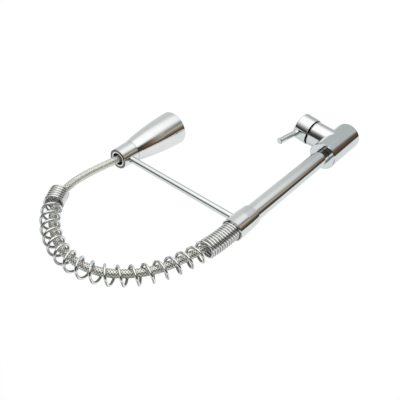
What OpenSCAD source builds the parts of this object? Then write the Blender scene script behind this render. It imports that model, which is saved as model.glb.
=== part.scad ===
// Single-lever kitchen faucet with a spring arch and a docked pull-down
// spray head. All sizes are millimetres.
// Frame: the deck is z = 0, the riser stands along +Z on the origin, and the
// docking arm and the spray head lie towards +X in the plane y = 0.

/* [Valve body] */
// Outside diameter of the body that stands on the deck
body_d = 43; // [42:0.5:48]
// Height of the body above the deck
body_h = 82; // [80:1:100]
// Bevel round the body's two ends
body_bevel = 0.8; // [0.4:0.1:1.5]

/* [Lever valve] */
// Distance from the body's top down to the lever valve's axis
valve_drop = 43; // [42:0.5:46]
// Turn of the lever valve about the riser, seen from above
valve_turn = -5; // [-60:1:60]
// Outside diameter of the valve housing
housing_d = 40.6; // [39:0.2:41.4]
// Wall of the valve housing round the cartridge
housing_wall = 4.8; // [4:0.2:5]
// Distance from the riser's axis to the housing's end face
housing_reach = 41.4; // [40:0.2:48]
// Outside diameter of the lever cap
cap_d = 44; // [43.6:0.1:48]
// Length of the lever cap
cap_len = 23.8; // [23:0.2:30]
// Wall of the lever cap's skirt
cap_wall = 1.2; // [1:0.1:1.4]
// Gap between the housing and the cap, on the valve's axis
cap_gap = 2; // [1.8:0.1:3]
// Tilt of the cap at rest, outer end down
cap_tilt = 4.2; // [2:0.2:6]
// Diameter of the pin handle
pin_d = 9.6; // [8:0.2:11]
// Length of the pin handle outside the cap
pin_len = 44; // [30:1:70]
// Lean of the pin handle away from the cap's square
pin_lean = 2.5; // [0:0.5:4]

/* [Riser] */
// Outside diameter of the riser tube
riser_d = 25; // [24:0.5:26]
// Wall of the riser tube
riser_wall = 1.3; // [1:0.1:1.6]
// Length of the riser that slips into the body
riser_socket = 8; // [6:0.5:8]

/* [Collar and docking arm] */
// Height of the collar's lower end above the deck
collar_z = 272; // [200:1:360]
// Length of the collar
collar_len = 43; // [40:1:60]
// Depth of the cup that holds the spring
cup_depth = 18; // [16:1:18]
// Wall of the collar round the spring cup
collar_wall = 1.6; // [1.2:0.1:3]
// Diameter of the docking arm's rod
arm_d = 10; // [8:0.5:12]
// Distance from the riser's axis to the spray head's axis
reach = 215; // [200:1:230]

/* [Docking sleeve] */
// Height of the docking sleeve
dock_h = 28.6; // [27:0.2:32]
// Diameter of the docking sleeve's upper end
dock_d_top = 30.6; // [29.6:0.2:34]
// Diameter of the docking sleeve's lower end
dock_d_bottom = 32.4; // [31:0.2:36]
// Height of the lip that holds the liner's neck
dock_lip = 6; // [4:0.5:8]

/* [Spray head] */
// Length of the spray head's bell below the docking sleeve
head_len = 93.7; // [85:0.5:110]
// Diameter of the bell at its mouth
mouth_d = 53.6; // [50:0.2:60]
// Radius of the bell's side arc
bell_arc = 535; // [400:5:900]
// Wall of the bell
bell_wall = 2.2; // [1.6:0.1:2.4]
// Radius of the rounded rim at the mouth
rim_r = 1.5; // [0.8:0.1:2]
// Number of spray nozzles in the outer ring
nozzles = 20; // [12:1:24]

/* [Spring arch] */
// Outside diameter of the spring
spring_od = 27; // [26.6:0.1:30]
// Diameter of the spring's wire
wire_d = 3.6; // [3:0.1:3.7]
// Pitch of the close-wound turns that start in the collar
close_pitch = 4.25; // [4.25:0.05:4.6]
// Pitch of the close-wound turns at the free end
tail_pitch = 4.45; // [4.4:0.05:4.8]
// Close-wound turns that start in the collar
close_turns = 14.5; // [8:0.5:16]
// Open turns over the arch
open_turns = 18; // [14:0.5:20]
// Close-wound turns at the free end
tail_turns = 5.5; // [3:0.5:8]

/* [Hose] */
// Outside diameter of the braided hose
hose_d = 11; // [9:0.5:11]
// Bore of the hose
hose_bore = 6.5; // [5:0.5:7]

/* [Hidden] */
$fn = 96;

// clearances
fit_gap = 0.02;    // pieces that seat in one another
bore_gap = 0.05;   // a turning fit
run_gap = 0.3;     // pieces that pass without touching
cut = 0.5;         // how far a cutter runs past a face
far = 600;         // length of a cutter that runs right through

// valve body and its bores
body_r = body_d / 2;
housing_r = housing_d / 2;
cavity_r = housing_r - housing_wall;
valve_z = body_h - valve_drop;      // height of the lever valve's axis
cartridge_len = 29.4;
cavity_floor = housing_reach - cartridge_len;
cavity_roof = 3.5;
swivel_floor = valve_z + cavity_r + cavity_roof;
spigot_r = 10.2;
guide_r = riser_d / 2 + bore_gap;
spigot_len = 8;
step_z = swivel_floor + spigot_len; // shoulder that carries the slip washer
washer_t = 1;
tube_z = body_h - riser_socket;     // lower end of the riser tube
groove_z = (step_z + washer_t + tube_z) / 2;
groove_h = 3;
groove_r = riser_d / 2 - 1.9;
oring_w = 1.6;
oring_r = spigot_r - 0.75;
oring_low = 2.2;
oring_high = 5.6;
oring_z = [swivel_floor + oring_low, swivel_floor + oring_high];
spigot_bore = 6;
spigot_plug = 10;                   // part of the spigot inside the riser
screw_r = 2;
screw_tip_r = 1.3;
screw_tip = 3;
screw_sink = 1.25;
screw_key = 1.1;
screw_key_depth = 2.1;
stud_x = 11.5;
stud_r = 3.4;
stud_depth = 16;
inlet_y = 9;
inlet_x = 1;
inlet_r = 4.5;
inlet_depth = 14;
way_r = 3.2;
port_r = 3;                         // hot and cold ports of the cavity
port_y = 8.5;
mix_r = 3.5;                        // mixed water's port and way up
mix_x = 8;
mix_way_x = 5;
mix_way_up = 5;
seal_r = 18.8;
seal_w = 2.4;

// cartridge, measured along the valve's axis from the riser's axis
seal_t = 1.2;
gasket_r = 13;
cartridge_base = 7;
shell_len = 21;
shell_end = cavity_floor + shell_len;
shell_wall = 2.7;
pocket_r = cavity_r - fit_gap - shell_wall;
shell_port_wall = 0.2;              // how much smaller the shell's ports are
disc_s = cavity_floor + cartridge_base;
disc_t = 3;
disc_out_x = 6.5;
disc_out_r = 2.4;
disc_in = [3, 5];
disc_in_r = 2;
slide_gap = 0.05;
disc_top = disc_s + disc_t;
carrier_s = disc_top + 0.4;
carrier_neck_s = shell_end - cut;
nut_recess = 2.9;
nut_end = housing_reach - nut_recess;
carrier_end = nut_end;
carrier_neck_r = 9.5;
slot_y = 4.4;
slot_x = 7.6;
pivot_rise = 2;
pivot_s = shell_end + pivot_rise;
pivot_r = 1.25;
pivot_len = 17;
ball_drop = 8;
ball_r = 3;
ball_neck_r = 2.2;
puck_x = 5.5;
puck_y = 6.2;
puck_t = 6;
puck_end = disc_top + puck_t;
puck_travel = 3.7;
puck_gap = 0.2;
nut_key_r = 12.2;
dome_bore = 10.2;
dome_lip = 0.8;
dome_lip_r = housing_r - 0.9;
dome_spigot_r = housing_r - 3.2;
dome_spigot_wall = 0.5;
dome_rise = 4.1;
stem_r = 4;
stem_foot = 4;
stem_cover = 7.7;                   // metal of the cap over the stem's end
stem_top = housing_reach + cap_gap + cap_len - stem_cover;

// lever cap, measured along the cap's own axis from the pivot
cap_r = cap_d / 2;
cap_s = housing_reach + cap_gap - pivot_s;
cap_front = 3;
hub_r = 7.5;
hub_back = 6.6;
hub_s = cap_s + hub_back;
cap_round = 1.8;
pin_back = 8.2;
pin_s = cap_s + cap_len - pin_back;
pin_r = pin_d / 2;
pin_stud_r = 3;

// riser top and collar
seat_z = collar_z + collar_len - cup_depth;   // riser's end, collar's shoulder
flange_t = 3;
spring_seat = seat_z + flange_t;
riser_r = riser_d / 2;
riser_in = riser_r - riser_wall;
cup_gap = 0.8;
cup_r = spring_od / 2 + cup_gap;
collar_r = cup_r + collar_wall;
collar_low_wall = 2.3;
collar_low_r = riser_r + collar_low_wall;
collar_bevel = 0.5;
tail_thread_r = 5;
tail_thread_len = 11;
tail_key_r = 8;
tail_key_t = 4;
crimp_len = 13;
plug_len = 20;
plug_bore = 3.5;
arm_z = collar_z + collar_len / 2;
arm_r = arm_d / 2;
arm_stud_r = arm_r * 0.6;

// docking sleeve and its liner
dock_top = arm_z + dock_h / 2;
dock_bottom = dock_top - dock_h;
socket_r = 12.8;
liner_wall = 1.6;
lip_z = dock_top - dock_lip;
neck_r = 11.6;
gate_gap = 4.1;                     // room round the hose in the liner's neck
hose_gate_r = hose_d / 2 + gate_gap;
liner_lip = 2;
liner_sink = 0.4;
liner_bevel = 0.4;
dock_bevel = 0.5;

// spray head
seam = run_gap;
head_top = dock_bottom - seam;
mouth_z = head_top - head_len;
head_r = dock_d_bottom / 2;
connector_r = socket_r - fit_gap - liner_wall - run_gap;
connector_drop = 10.6;
connector_top = dock_top - connector_drop;
connector_bevel = 1.5;
thread_r = 9;
boss_t = 10.7;
cavity_top = head_top - boss_t;
ferrule_wall = 1.45;
ferrule_r = hose_d / 2 + bore_gap + ferrule_wall;
hose_grip = 12;
hose_stop = connector_top - hose_grip;
ferrule_foot = 2;
ferrule_nipple_r = 4.4;
ferrule_bore = 3;
ferrule_lift = 3;
guide_top = cavity_top - fit_gap;
guide_r_top = 11.5;
guide_neck_r = 8.5;
guide_cone_r = 14;
guide_cone = 9;
guide_neck = 6;
guide_bore = 5.5;
head_washer_t = 2;
head_washer_bore = 4.5;
valve_len = 14;
valve_r = 6.5;
valve_flange = 1;
valve_flange_t = 1.5;
valve_holes_at = 3.4;
valve_hole_r = 1.3;
face_back = 2;
face_z = mouth_z + face_back;
face_t = 3;
face_len = 13;
guide_flange_z = face_z + face_len;
guide_flange_t = 5;
guide_flange_r = bell_in(guide_flange_z + guide_flange_t) - 0.45;
guide_oring_w = 1.5;
guide_oring_z = guide_flange_z + 2.6;
guide_oring_r = bell_in(guide_oring_z + guide_oring_w / 2) - guide_oring_w / 2
    - fit_gap;
face_r = bell_in(guide_flange_z) - run_gap;
face_rim = 2;
mat_t = 2;
nozzle_r = 1.2;
nozzle_out = 0.8;
aerator_r = 9;
aerator_wall = 1.4;
aerator_rim = 1.5;
aerator_out = 0.4;
mesh_pitch = 2.8;
mesh_hole = 2;
ring_gap = 4;
ring_step = 5.5;
ring_r = [aerator_r + ring_gap, aerator_r + ring_gap + ring_step];
ring_n = [floor(nozzles * 0.6), nozzles];

// spring: a straight start, four bends and a straight tail, drawn for an
// arch that spans arch_span and scaled to the reach
arch_span = 215;
arch_scale = reach / arch_span;
arch_start = 22;
bend_r1 = 303;
bend_r2 = 121;
bend_r3 = 88;
bend_r4 = 135.5;
arch_bends = [[bend_r1, 17], [bend_r2, 32.2], [bend_r3, 59.3],
              [bend_r4, 41.5]];
arch_tail = 12;
arch = concat([[arch_start * arch_scale, 0]],
              [for (b = arch_bends)
                  [b[0] * arch_scale * b[1] * PI / 180, b[1]]],
              [[arch_tail * arch_scale, 0]]);
arch_len = total([for (a = arch) a[0]]);
spring_lift = 0.4;
arch_z = spring_seat + wire_d / 2 + spring_lift;
coil_r = (spring_od - wire_d) / 2;
rings_per_turn = 8;
wire_sides = 6;
turns = close_turns + open_turns + tail_turns;
open_pitch = (arch_len - close_turns * close_pitch - tail_turns * tail_pitch)
    / open_turns;
coil_phase = 45;

// hose: straight out of its nut, along the inside of the arch, then bowed
// from the spring's end to the docking sleeve; the bow is given as the share
// of the height above the sleeve and the distance outside the head's axis
hose_sides = 12;
hose_foot = 6;                      // height of the hose's end in its nut
hose_lead = 6;                      // straight length where it leaves a fitting
hose_start = spring_seat + hose_foot;
hose_free = 18;                     // where the hose leaves the arch's axis
hose_side = 3.3;                    // how far it lies to the inside of it
hose_ramp = 52;                     // length over which it gets there
hose_step = 13;
hose_bow = [[0.88, 1.2], [0.8, 2.9], [0.72, 4.3], [0.61, 4.8], [0.5, 4.7],
            [0.38, 4], [0.26, 2.8], [0.13, 1.4]];
hose_runs = floor((arch_len - hose_free) / hose_step);
hose_exit = inside(arch_len);
hose_points = concat(
    [[0, hose_start], [0, hose_start + hose_lead]],
    [for (i = [0 : hose_runs - 1])
        inside(hose_free + i * (arch_len - hose_free) / hose_runs)],
    [hose_exit],
    [for (b = hose_bow)
        [reach + b[1], dock_top + b[0] * (hose_exit[1] - dock_top)]],
    [[reach + 0.3, dock_top + 1], [reach, dock_top - hose_lead],
     [reach, (dock_top - hose_lead + hose_stop) / 2], [reach, hose_stop]]);

// ---- general functions ----

function total(v, i = 0) = i == len(v) ? 0 : v[i] + total(v, i + 1);
function unit(v) = v / norm(v);

// centre line of a run of bends: [x, z, heading] after s, heading from +Z
// towards +X
function step(p, s, turn) =
    turn == 0 ? [p[0] + s * sin(p[2]), p[1] + s * cos(p[2]), p[2]]
    : let (r = s * 180 / (PI * turn))
      [p[0] + r * (cos(p[2]) - cos(p[2] + turn)),
       p[1] + r * (sin(p[2] + turn) - sin(p[2])), p[2] + turn];
function along(s, i = 0, p = [0, arch_z, 0]) =
    s <= arch[i][0] || i == len(arch) - 1
        ? step(p, s, arch[i][1] * s / arch[i][0])
        : along(s - arch[i][0], i + 1, step(p, arch[i][0], arch[i][1]));

// the same point moved to the inside of the bends, where the hose lies
function inside(s) = let (
    c = along(s),
    k = hose_side * max(0, min(1, (s - hose_free) / hose_ramp)))
    [c[0] + k * cos(c[2]), c[1] - k * sin(c[2])];

// skin of a stack of rings, each ring a list of the same number of points
function side_faces(rings, n, base = 0, flip = false) =
    [for (i = [0 : rings - 2], k = [0 : n - 1]) let (
        a = base + i * n + k, b = base + i * n + (k + 1) % n,
        c = a + n, d = b + n)
        each flip ? [[a, d, b], [a, c, d]] : [[a, b, d], [a, d, c]]];
function cap_faces(n, base, flip = false) =
    [for (k = [1 : n - 2])
        flip ? [base, base + k + 1, base + k] : [base, base + k, base + k + 1]];
function ring_cap(n, outer, inner, flip = false) =
    [for (k = [0 : n - 1]) let (
        a = outer + k, b = outer + (k + 1) % n,
        c = inner + k, d = inner + (k + 1) % n)
        each flip ? [[a, d, b], [a, c, d]] : [[a, b, d], [a, d, c]]];

// ---- spring ----

// distance along the arch after t turns
function wound(t) =
    t < close_turns ? t * close_pitch
    : t < close_turns + open_turns
        ? close_turns * close_pitch + (t - close_turns) * open_pitch
        : arch_len - (turns - t) * tail_pitch;
function coil_point(t) = let (
    c = along(wound(t)), a = coil_phase + 360 * t,
    r = coil_r * cos(a))
    [c[0] + r * cos(c[2]), coil_r * sin(a), c[1] - r * sin(c[2])];
function coil_out(t) = let (h = along(wound(t))[2], a = coil_phase + 360 * t)
    [cos(a) * cos(h), sin(a), -cos(a) * sin(h)];
coil_count = turns * rings_per_turn;
coil_body = [for (k = [0 : coil_count]) coil_point(k / rings_per_turn)];
coil_first = unit(coil_body[0] - coil_point(0.01));
coil_last = unit(coil_body[coil_count] - coil_point(turns - 0.01));
wire_points = concat([coil_body[0] + coil_first * wire_d], coil_body,
                     [coil_body[coil_count] + coil_last * wire_d]);
wire_outs = concat([coil_out(0)],
                   [for (k = [0 : coil_count]) coil_out(k / rings_per_turn)],
                   [coil_out(turns)]);
function wire_ring(i) = let (
    m = len(wire_points) - 1,
    t = i == 0 || i == 1 ? unit(wire_points[1] - wire_points[0])
        : i >= m - 1 ? unit(wire_points[m] - wire_points[m - 1])
        : unit(wire_points[i + 1] - wire_points[i - 1]),
    u = unit(wire_outs[i] - (wire_outs[i] * t) * t), v = cross(t, u))
    [for (k = [0 : wire_sides - 1]) let (a = 360 * k / wire_sides)
        wire_points[i] + wire_d / 2 * (cos(a) * u + sin(a) * v)];
coil_gap = min([for (i = [0 : coil_count], j = [i + 5 : i + 11])
    if (j <= coil_count) norm(coil_body[i] - coil_body[j])]) - wire_d;
echo(spring_least_gap = coil_gap, open_pitch = open_pitch);

module spring() {
    rings = len(wire_points);
    color("silver") polyhedron(
        points = [for (i = [0 : rings - 1]) each wire_ring(i)],
        faces = concat(side_faces(rings, wire_sides, 0, true),
                       cap_faces(wire_sides, 0),
                       cap_faces(wire_sides, (rings - 1) * wire_sides, true)));
}

// ---- hose ----

function hose_ring(i, r) = let (
    m = len(hose_points) - 1,
    t = unit(i <= 1 ? [0, 1] : i >= m - 2 ? [0, -1]
             : hose_points[i + 1] - hose_points[i - 1]),
    u = [t[1], 0, -t[0]])
    [for (k = [0 : hose_sides - 1]) let (a = 360 * k / hose_sides)
        [hose_points[i][0], 0, hose_points[i][1]]
        + r * (cos(a) * u + sin(a) * [0, 1, 0])];

module hose() {
    rings = len(hose_points);
    inner = rings * hose_sides;
    last = (rings - 1) * hose_sides;
    color("darkgray") polyhedron(
        points = concat(
            [for (i = [0 : rings - 1]) each hose_ring(i, hose_d / 2)],
            [for (i = [0 : rings - 1]) each hose_ring(i, hose_bore / 2)]),
        faces = concat(side_faces(rings, hose_sides),
                       side_faces(rings, hose_sides, inner, true),
                       ring_cap(hose_sides, 0, inner, true),
                       ring_cap(hose_sides, last, inner + last)));
}

// ---- helpers ----

// the valve's frame: z along the valve's axis, -x up
module valve_frame() {
    rotate([0, 0, valve_turn]) translate([0, 0, valve_z])
        rotate([0, 90, 0]) children();
}
// the lever's frame: as the valve's, from the pivot and tilted with the cap
module lever_frame() {
    valve_frame() translate([0, 0, pivot_s]) rotate([0, cap_tilt, 0])
        children();
}
module tube(r, inner, z0, z1) {
    translate([0, 0, z0]) difference() {
        cylinder(r = r, h = z1 - z0);
        translate([0, 0, -cut]) cylinder(r = inner, h = z1 - z0 + 2 * cut);
    }
}
module torus(r, w, z) {
    translate([0, 0, z]) rotate_extrude() translate([r, 0])
        circle(d = w, $fn = 32);
}
module on_head() { translate([reach, 0, 0]) children(); }

// ---- valve body ----

module valve_body() {
    color("gainsboro") difference() {
        union() {
            rotate_extrude() polygon([
                [0, 0], [body_r - body_bevel, 0], [body_r, body_bevel],
                [body_r, body_h - body_bevel],
                [body_r - body_bevel, body_h], [0, body_h]]);
            valve_frame() rotate_extrude() polygon([
                [0, 0], [housing_r, 0], [housing_r, housing_reach - 0.4],
                [housing_r - 0.4, housing_reach], [0, housing_reach]]);
        }
        // swivel socket for the riser
        translate([0, 0, step_z]) cylinder(r = guide_r, h = body_h);
        translate([0, 0, swivel_floor])
            cylinder(r = spigot_r + bore_gap, h = body_h);
        translate([0, 0, groove_z]) rotate([-90, 0, 0])
            cylinder(r = screw_r + fit_gap, h = body_d);
        // cartridge cavity and the seat of the dome cover
        valve_frame() {
            translate([0, 0, cavity_floor])
                cylinder(r = cavity_r, h = housing_reach);
            translate([0, 0, nut_end + fit_gap])
                cylinder(r = dome_spigot_r + fit_gap, h = housing_reach);
            // mixed water out, hot and cold in
            translate([-mix_x, 0, 2]) cylinder(r = mix_r, h = cavity_floor);
            for (y = [-port_y, port_y]) translate([0, y, -2])
                cylinder(r = port_r, h = cavity_floor + 4);
        }
        rotate([0, 0, valve_turn])
            translate([mix_way_x, 0, valve_z + mix_way_up])
                cylinder(r = mix_r, h = swivel_floor - valve_z);
        for (y = [-inlet_y, inlet_y]) translate([inlet_x, y, -cut]) {
            cylinder(r = inlet_r, h = inlet_depth + cut);
            cylinder(r = way_r, h = valve_z + cut);
        }
        translate([-stud_x, 0, -cut])
            cylinder(r = stud_r, h = stud_depth + cut);
        // groove of the deck seal
        translate([0, 0, -cut]) tube(seal_r + seal_w / 2 + 0.1,
            seal_r - seal_w / 2 - 0.1, 0, seal_w + 0.1 + cut);
    }
}

module base_seal() { color("dimgray") torus(seal_r, seal_w, seal_w / 2); }

module retaining_screw() {
    tip = groove_r + 0.5;
    color("slategray") translate([0, 0, groove_z]) rotate([-90, 0, 0])
    difference() {
        union() {
            translate([0, 0, tip]) cylinder(r = screw_tip_r, h = screw_tip);
            translate([0, 0, guide_r + 0.25])
                cylinder(r = screw_r, h = body_r - guide_r - 0.25 - screw_sink);
        }
        translate([0, 0, body_r - screw_sink - screw_key_depth])
            cylinder(r = screw_key, h = body_r, $fn = 6);
    }
}

// ---- cartridge ----

module cartridge_ports(less) {
    translate([-mix_x, 0, 0]) cylinder(r = mix_r - less, h = far);
    for (y = [-port_y, port_y]) translate([0, y, 0])
        cylinder(r = port_r - less, h = far);
}

module cartridge_seal() {
    color("dimgray") valve_frame() difference() {
        translate([0, 0, cavity_floor + fit_gap])
            cylinder(r = gasket_r, h = seal_t);
        cartridge_ports(0);
    }
}

module cartridge_body() {
    color("white") valve_frame() difference() {
        translate([0, 0, cavity_floor + seal_t + 2 * fit_gap])
            cylinder(r = cavity_r - fit_gap,
                     h = shell_end - cavity_floor - seal_t - 2 * fit_gap);
        translate([0, 0, disc_s]) cylinder(r = pocket_r, h = shell_end);
        cartridge_ports(shell_port_wall);
    }
}

module disc_fixed() {
    color("ivory") valve_frame() difference() {
        translate([0, 0, disc_s + fit_gap])
            cylinder(r = pocket_r - 0.3, h = disc_t);
        translate([-disc_out_x, 0, 0]) cylinder(r = disc_out_r, h = far);
        for (y = [-disc_in[1], disc_in[1]]) translate([disc_in[0], y, 0])
            cylinder(r = disc_in_r, h = far);
    }
}

module cartridge_nut() {
    color("darkkhaki") valve_frame() difference() {
        translate([0, 0, shell_end + fit_gap])
            cylinder(r = cavity_r - fit_gap, h = nut_end - shell_end - fit_gap);
        translate([0, 0, shell_end - cut])
            cylinder(r = nut_key_r, h = far, $fn = 6);
    }
}

module dome_cover() {
    // a shallow dome from the lip's inner edge to the stem's opening
    rim = dome_lip_r - 0.6;
    low = housing_reach + dome_lip;
    high = housing_reach + dome_rise;
    off = (rim * rim - dome_bore * dome_bore - (high - low) * (high - low))
        / (2 * (high - low));
    ball = sqrt(rim * rim + off * off);
    color("silver") valve_frame() rotate_extrude() difference() {
        union() {
            translate([0, nut_end + 2 * fit_gap]) square(
                [dome_spigot_r, housing_reach - nut_end]);
            translate([0, housing_reach + fit_gap]) square(
                [dome_lip_r, dome_lip - fit_gap]);
            intersection() {
                translate([0, low - off]) circle(r = ball, $fn = 360);
                translate([0, housing_reach + 0.5])
                    square([rim, high - housing_reach]);
            }
        }
        translate([-1, nut_end - 1]) square([dome_bore + 1, far]);
        translate([dome_bore - 1, nut_end - 1])
            square([dome_spigot_r - dome_spigot_wall - dome_bore,
                    housing_reach - nut_end]);
    }
}

module cartridge_carrier() {
    color("lightsteelblue") valve_frame() difference() {
        union() {
            translate([0, 0, carrier_s]) cylinder(r = pocket_r - run_gap,
                h = carrier_neck_s - carrier_s);
            translate([0, 0, carrier_neck_s - 1]) cylinder(r = carrier_neck_r,
                h = carrier_end - carrier_neck_s + 1);
        }
        // pocket of the sliding disc, slot of the stem, hole of the pivot
        translate([-puck_x - puck_travel, -puck_y - puck_gap, carrier_s - cut])
            cube([2 * puck_x + puck_travel, 2 * (puck_y + puck_gap),
                  puck_end + 2 * puck_gap - carrier_s + cut]);
        translate([-slot_x, -slot_y, carrier_s])
            cube([2 * slot_x, 2 * slot_y, far]);
        translate([0, 0, pivot_s]) rotate([90, 0, 0])
            cylinder(r = pivot_r + fit_gap, h = far, center = true);
    }
}

module pivot_pin() {
    color("slategray") valve_frame() translate([0, 0, pivot_s])
        rotate([90, 0, 0]) cylinder(r = pivot_r, h = pivot_len, center = true);
}

module disc_moving() {
    rest = -ball_drop * sin(cap_tilt);
    color("ivory") valve_frame() translate([rest, 0, 0]) difference() {
        translate([-puck_x, -puck_y, disc_top + fit_gap + slide_gap])
            cube([2 * puck_x, 2 * puck_y, puck_t - fit_gap - slide_gap]);
        translate([0, 0, pivot_s - ball_drop - ball_r - puck_gap])
            cylinder(r = ball_r + bore_gap, h = far);
    }
}

// ---- lever ----

module lever_stem() {
    color("darkkhaki") lever_frame() difference() {
        union() {
            translate([0, 0, -ball_drop]) sphere(r = ball_r);
            translate([0, 0, -ball_drop])
                cylinder(r = ball_neck_r, h = ball_drop);
            translate([0, 0, -stem_foot]) cylinder(r = stem_r,
                h = stem_top - pivot_s + stem_foot);
        }
        rotate([90, 0, 0])
            cylinder(r = pivot_r + bore_gap, h = far, center = true);
    }
}

module cap_shape() {
    r = cap_r;
    union() {
        polygon([[0, cap_s], [r - 0.3, cap_s], [r, cap_s + 0.3],
                 [r, cap_s + cap_len - cap_round],
                 [0, cap_s + cap_len - cap_round]]);
        translate([0, cap_s]) square([r - cap_round, cap_len]);
        translate([r - cap_round, cap_s + cap_len - cap_round])
            circle(r = cap_round, $fn = 64);
    }
}

module pin_frame() {
    lever_frame() translate([0, 0, pin_s]) rotate([0, -90 + pin_lean, 0])
        children();
}

module lever_cap() {
    color("gainsboro") lever_frame() difference() {
        rotate_extrude() difference() {
            cap_shape();
            // hollow round the hub, then the stem's bore
            translate([hub_r, cap_s - 1]) square([cap_r - cap_wall - hub_r,
                cap_len - cap_front + 1]);
            translate([-1, cap_s - 1]) square([hub_r + 2, hub_s - cap_s + 1]);
            translate([-1, cap_s - 1]) square([stem_r + fit_gap + 1,
                stem_top - pivot_s + fit_gap - cap_s + 1]);
        }
        translate([0, 0, pin_s]) rotate([0, -90 + pin_lean, 0])
            cylinder(r = pin_stud_r, h = cap_d);
    }
}

module pin_handle() {
    end = cap_r + pin_len;
    color("gainsboro") union() {
        difference() {
            pin_frame() translate([0, 0, cap_r - 2]) rotate_extrude()
                polygon([[0, 0], [pin_r, 0], [pin_r, pin_len + 1.2],
                         [pin_r - 0.8, pin_len + 2], [0, pin_len + 2]]);
            lever_frame() cylinder(r = cap_r, h = far);
        }
        pin_frame() translate([0, 0, stem_r + 0.1])
            cylinder(r = pin_stud_r - fit_gap, h = cap_r - stem_r);
    }
}

// ---- swivel and riser ----

module spout_spigot() {
    flange_z = step_z + washer_t + fit_gap;
    color("darkkhaki") difference() {
        union() {
            translate([0, 0, swivel_floor + 0.6])
                cylinder(r = spigot_r, h = tube_z - swivel_floor);
            translate([0, 0, flange_z])
                cylinder(r = riser_r, h = tube_z - flange_z);
            translate([0, 0, tube_z - 1])
                cylinder(r = riser_in - fit_gap, h = spigot_plug + 1);
        }
        cylinder(r = spigot_bore, h = far);
        for (z = oring_z) tube(spigot_r + 1, spigot_r - 1.6,
            z - oring_w / 2 - 0.1, z + oring_w / 2 + 0.1);
        tube(riser_r + 1, groove_r, groove_z - groove_h / 2,
             groove_z + groove_h / 2);
    }
}

module spigot_oring_lower() {
    color("dimgray") torus(oring_r, oring_w, oring_z[0]);
}
module spigot_oring_upper() {
    color("dimgray") torus(oring_r, oring_w, oring_z[1]);
}

module swivel_washer() {
    color("white") tube(guide_r - 0.2, spigot_r + 0.1, step_z,
                        step_z + washer_t);
}

module riser_tube() {
    color("gainsboro") tube(riser_r, riser_in, tube_z, seat_z);
}

module riser_fitting() {
    color("darkkhaki") difference() {
        union() {
            translate([0, 0, seat_z - plug_len])
                cylinder(r = riser_in - fit_gap, h = plug_len + 1);
            translate([0, 0, seat_z + fit_gap])
                cylinder(r = cup_r - 0.2, h = flange_t - fit_gap);
        }
        translate([0, 0, seat_z - tail_thread_len])
            cylinder(r = tail_thread_r, h = far);
        cylinder(r = plug_bore, h = far);
    }
}

module hose_tail_nut() {
    color("gainsboro") difference() {
        union() {
            translate([0, 0, seat_z - tail_thread_len + 0.5])
                cylinder(r = tail_thread_r - fit_gap,
                         h = tail_thread_len + flange_t);
            translate([0, 0, spring_seat + fit_gap])
                cylinder(r = tail_key_r, h = tail_key_t + 1, $fn = 6);
            translate([0, 0, spring_seat + tail_key_t]) cylinder(
                r = ferrule_r, h = hose_start + crimp_len - spring_seat
                    - tail_key_t);
        }
        translate([0, 0, hose_start - fit_gap])
            cylinder(r = hose_d / 2 + bore_gap, h = far);
        cylinder(r = hose_bore / 2, h = far);
    }
}

// ---- collar, arm and docking sleeve ----

module collar_outer() {
    rotate_extrude() polygon([
        [0, collar_z], [collar_low_r - collar_bevel, collar_z],
        [collar_low_r, collar_z + collar_bevel],
        [collar_r, collar_z + collar_len * 0.45],
        [collar_r, collar_z + collar_len - collar_bevel],
        [collar_r - collar_bevel, collar_z + collar_len],
        [0, collar_z + collar_len]]);
}

module collar() {
    color("gainsboro") difference() {
        collar_outer();
        translate([0, 0, collar_z - cut])
            cylinder(r = riser_r + fit_gap, h = collar_len + 2 * cut);
        translate([0, 0, seat_z]) cylinder(r = cup_r, h = collar_len);
        translate([0, 0, arm_z]) rotate([0, 90, 0])
            cylinder(r = arm_stud_r, h = far);
    }
}

module dock_outer() {
    on_head() rotate_extrude() polygon([
        [0, dock_bottom], [dock_d_bottom / 2 - 0.2, dock_bottom],
        [dock_d_bottom / 2, dock_bottom + 0.2],
        [dock_d_top / 2, dock_top - dock_bevel],
        [dock_d_top / 2 - dock_bevel, dock_top], [0, dock_top]]);
}

module arm_rod() {
    color("gainsboro") union() {
        difference() {
            translate([0, 0, arm_z]) rotate([0, 90, 0])
                cylinder(r = arm_r, h = reach);
            collar_outer();
            dock_outer();
        }
        translate([riser_r + 0.1, 0, arm_z]) rotate([0, 90, 0])
            cylinder(r = arm_stud_r - fit_gap, h = collar_r - riser_r + 2);
        translate([reach - dock_d_bottom / 2 - 2, 0, arm_z])
            rotate([0, 90, 0]) cylinder(r = arm_stud_r - fit_gap,
                h = dock_d_bottom / 2 - socket_r + 1.6);
    }
}

module docking_sleeve() {
    color("gainsboro") difference() {
        dock_outer();
        on_head() {
            translate([0, 0, dock_bottom - cut])
                cylinder(r = socket_r, h = lip_z - dock_bottom + cut);
            translate([0, 0, lip_z - cut])
                cylinder(r = neck_r, h = dock_lip + 2 * cut);
        }
        translate([reach, 0, arm_z]) rotate([0, -90, 0])
            cylinder(r = arm_stud_r, h = reach - collar_r);
    }
}

module dock_liner() {
    color("white") on_head() rotate_extrude() polygon([
        [socket_r - liner_wall, dock_bottom + 0.3],
        [socket_r - fit_gap, dock_bottom + 0.3],
        [socket_r - fit_gap, lip_z - fit_gap],
        [neck_r - fit_gap, lip_z - fit_gap],
        [neck_r - fit_gap, dock_top - liner_sink],
        [hose_gate_r + liner_bevel, dock_top - liner_sink],
        [hose_gate_r, dock_top - liner_sink - liner_bevel],
        [hose_gate_r, lip_z - liner_lip],
        [socket_r - liner_wall, lip_z - liner_lip]]);
}

// ---- spray head ----

// the bell's side: one arc from the top edge to the mouth
function bell_centre() = let (
    a = [head_r, head_top], b = [mouth_d / 2, mouth_z],
    h = norm(b - a) / 2, n = unit([a[1] - b[1], b[0] - a[0]]))
    (a + b) / 2 - n * sqrt(bell_arc * bell_arc - h * h);
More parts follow.
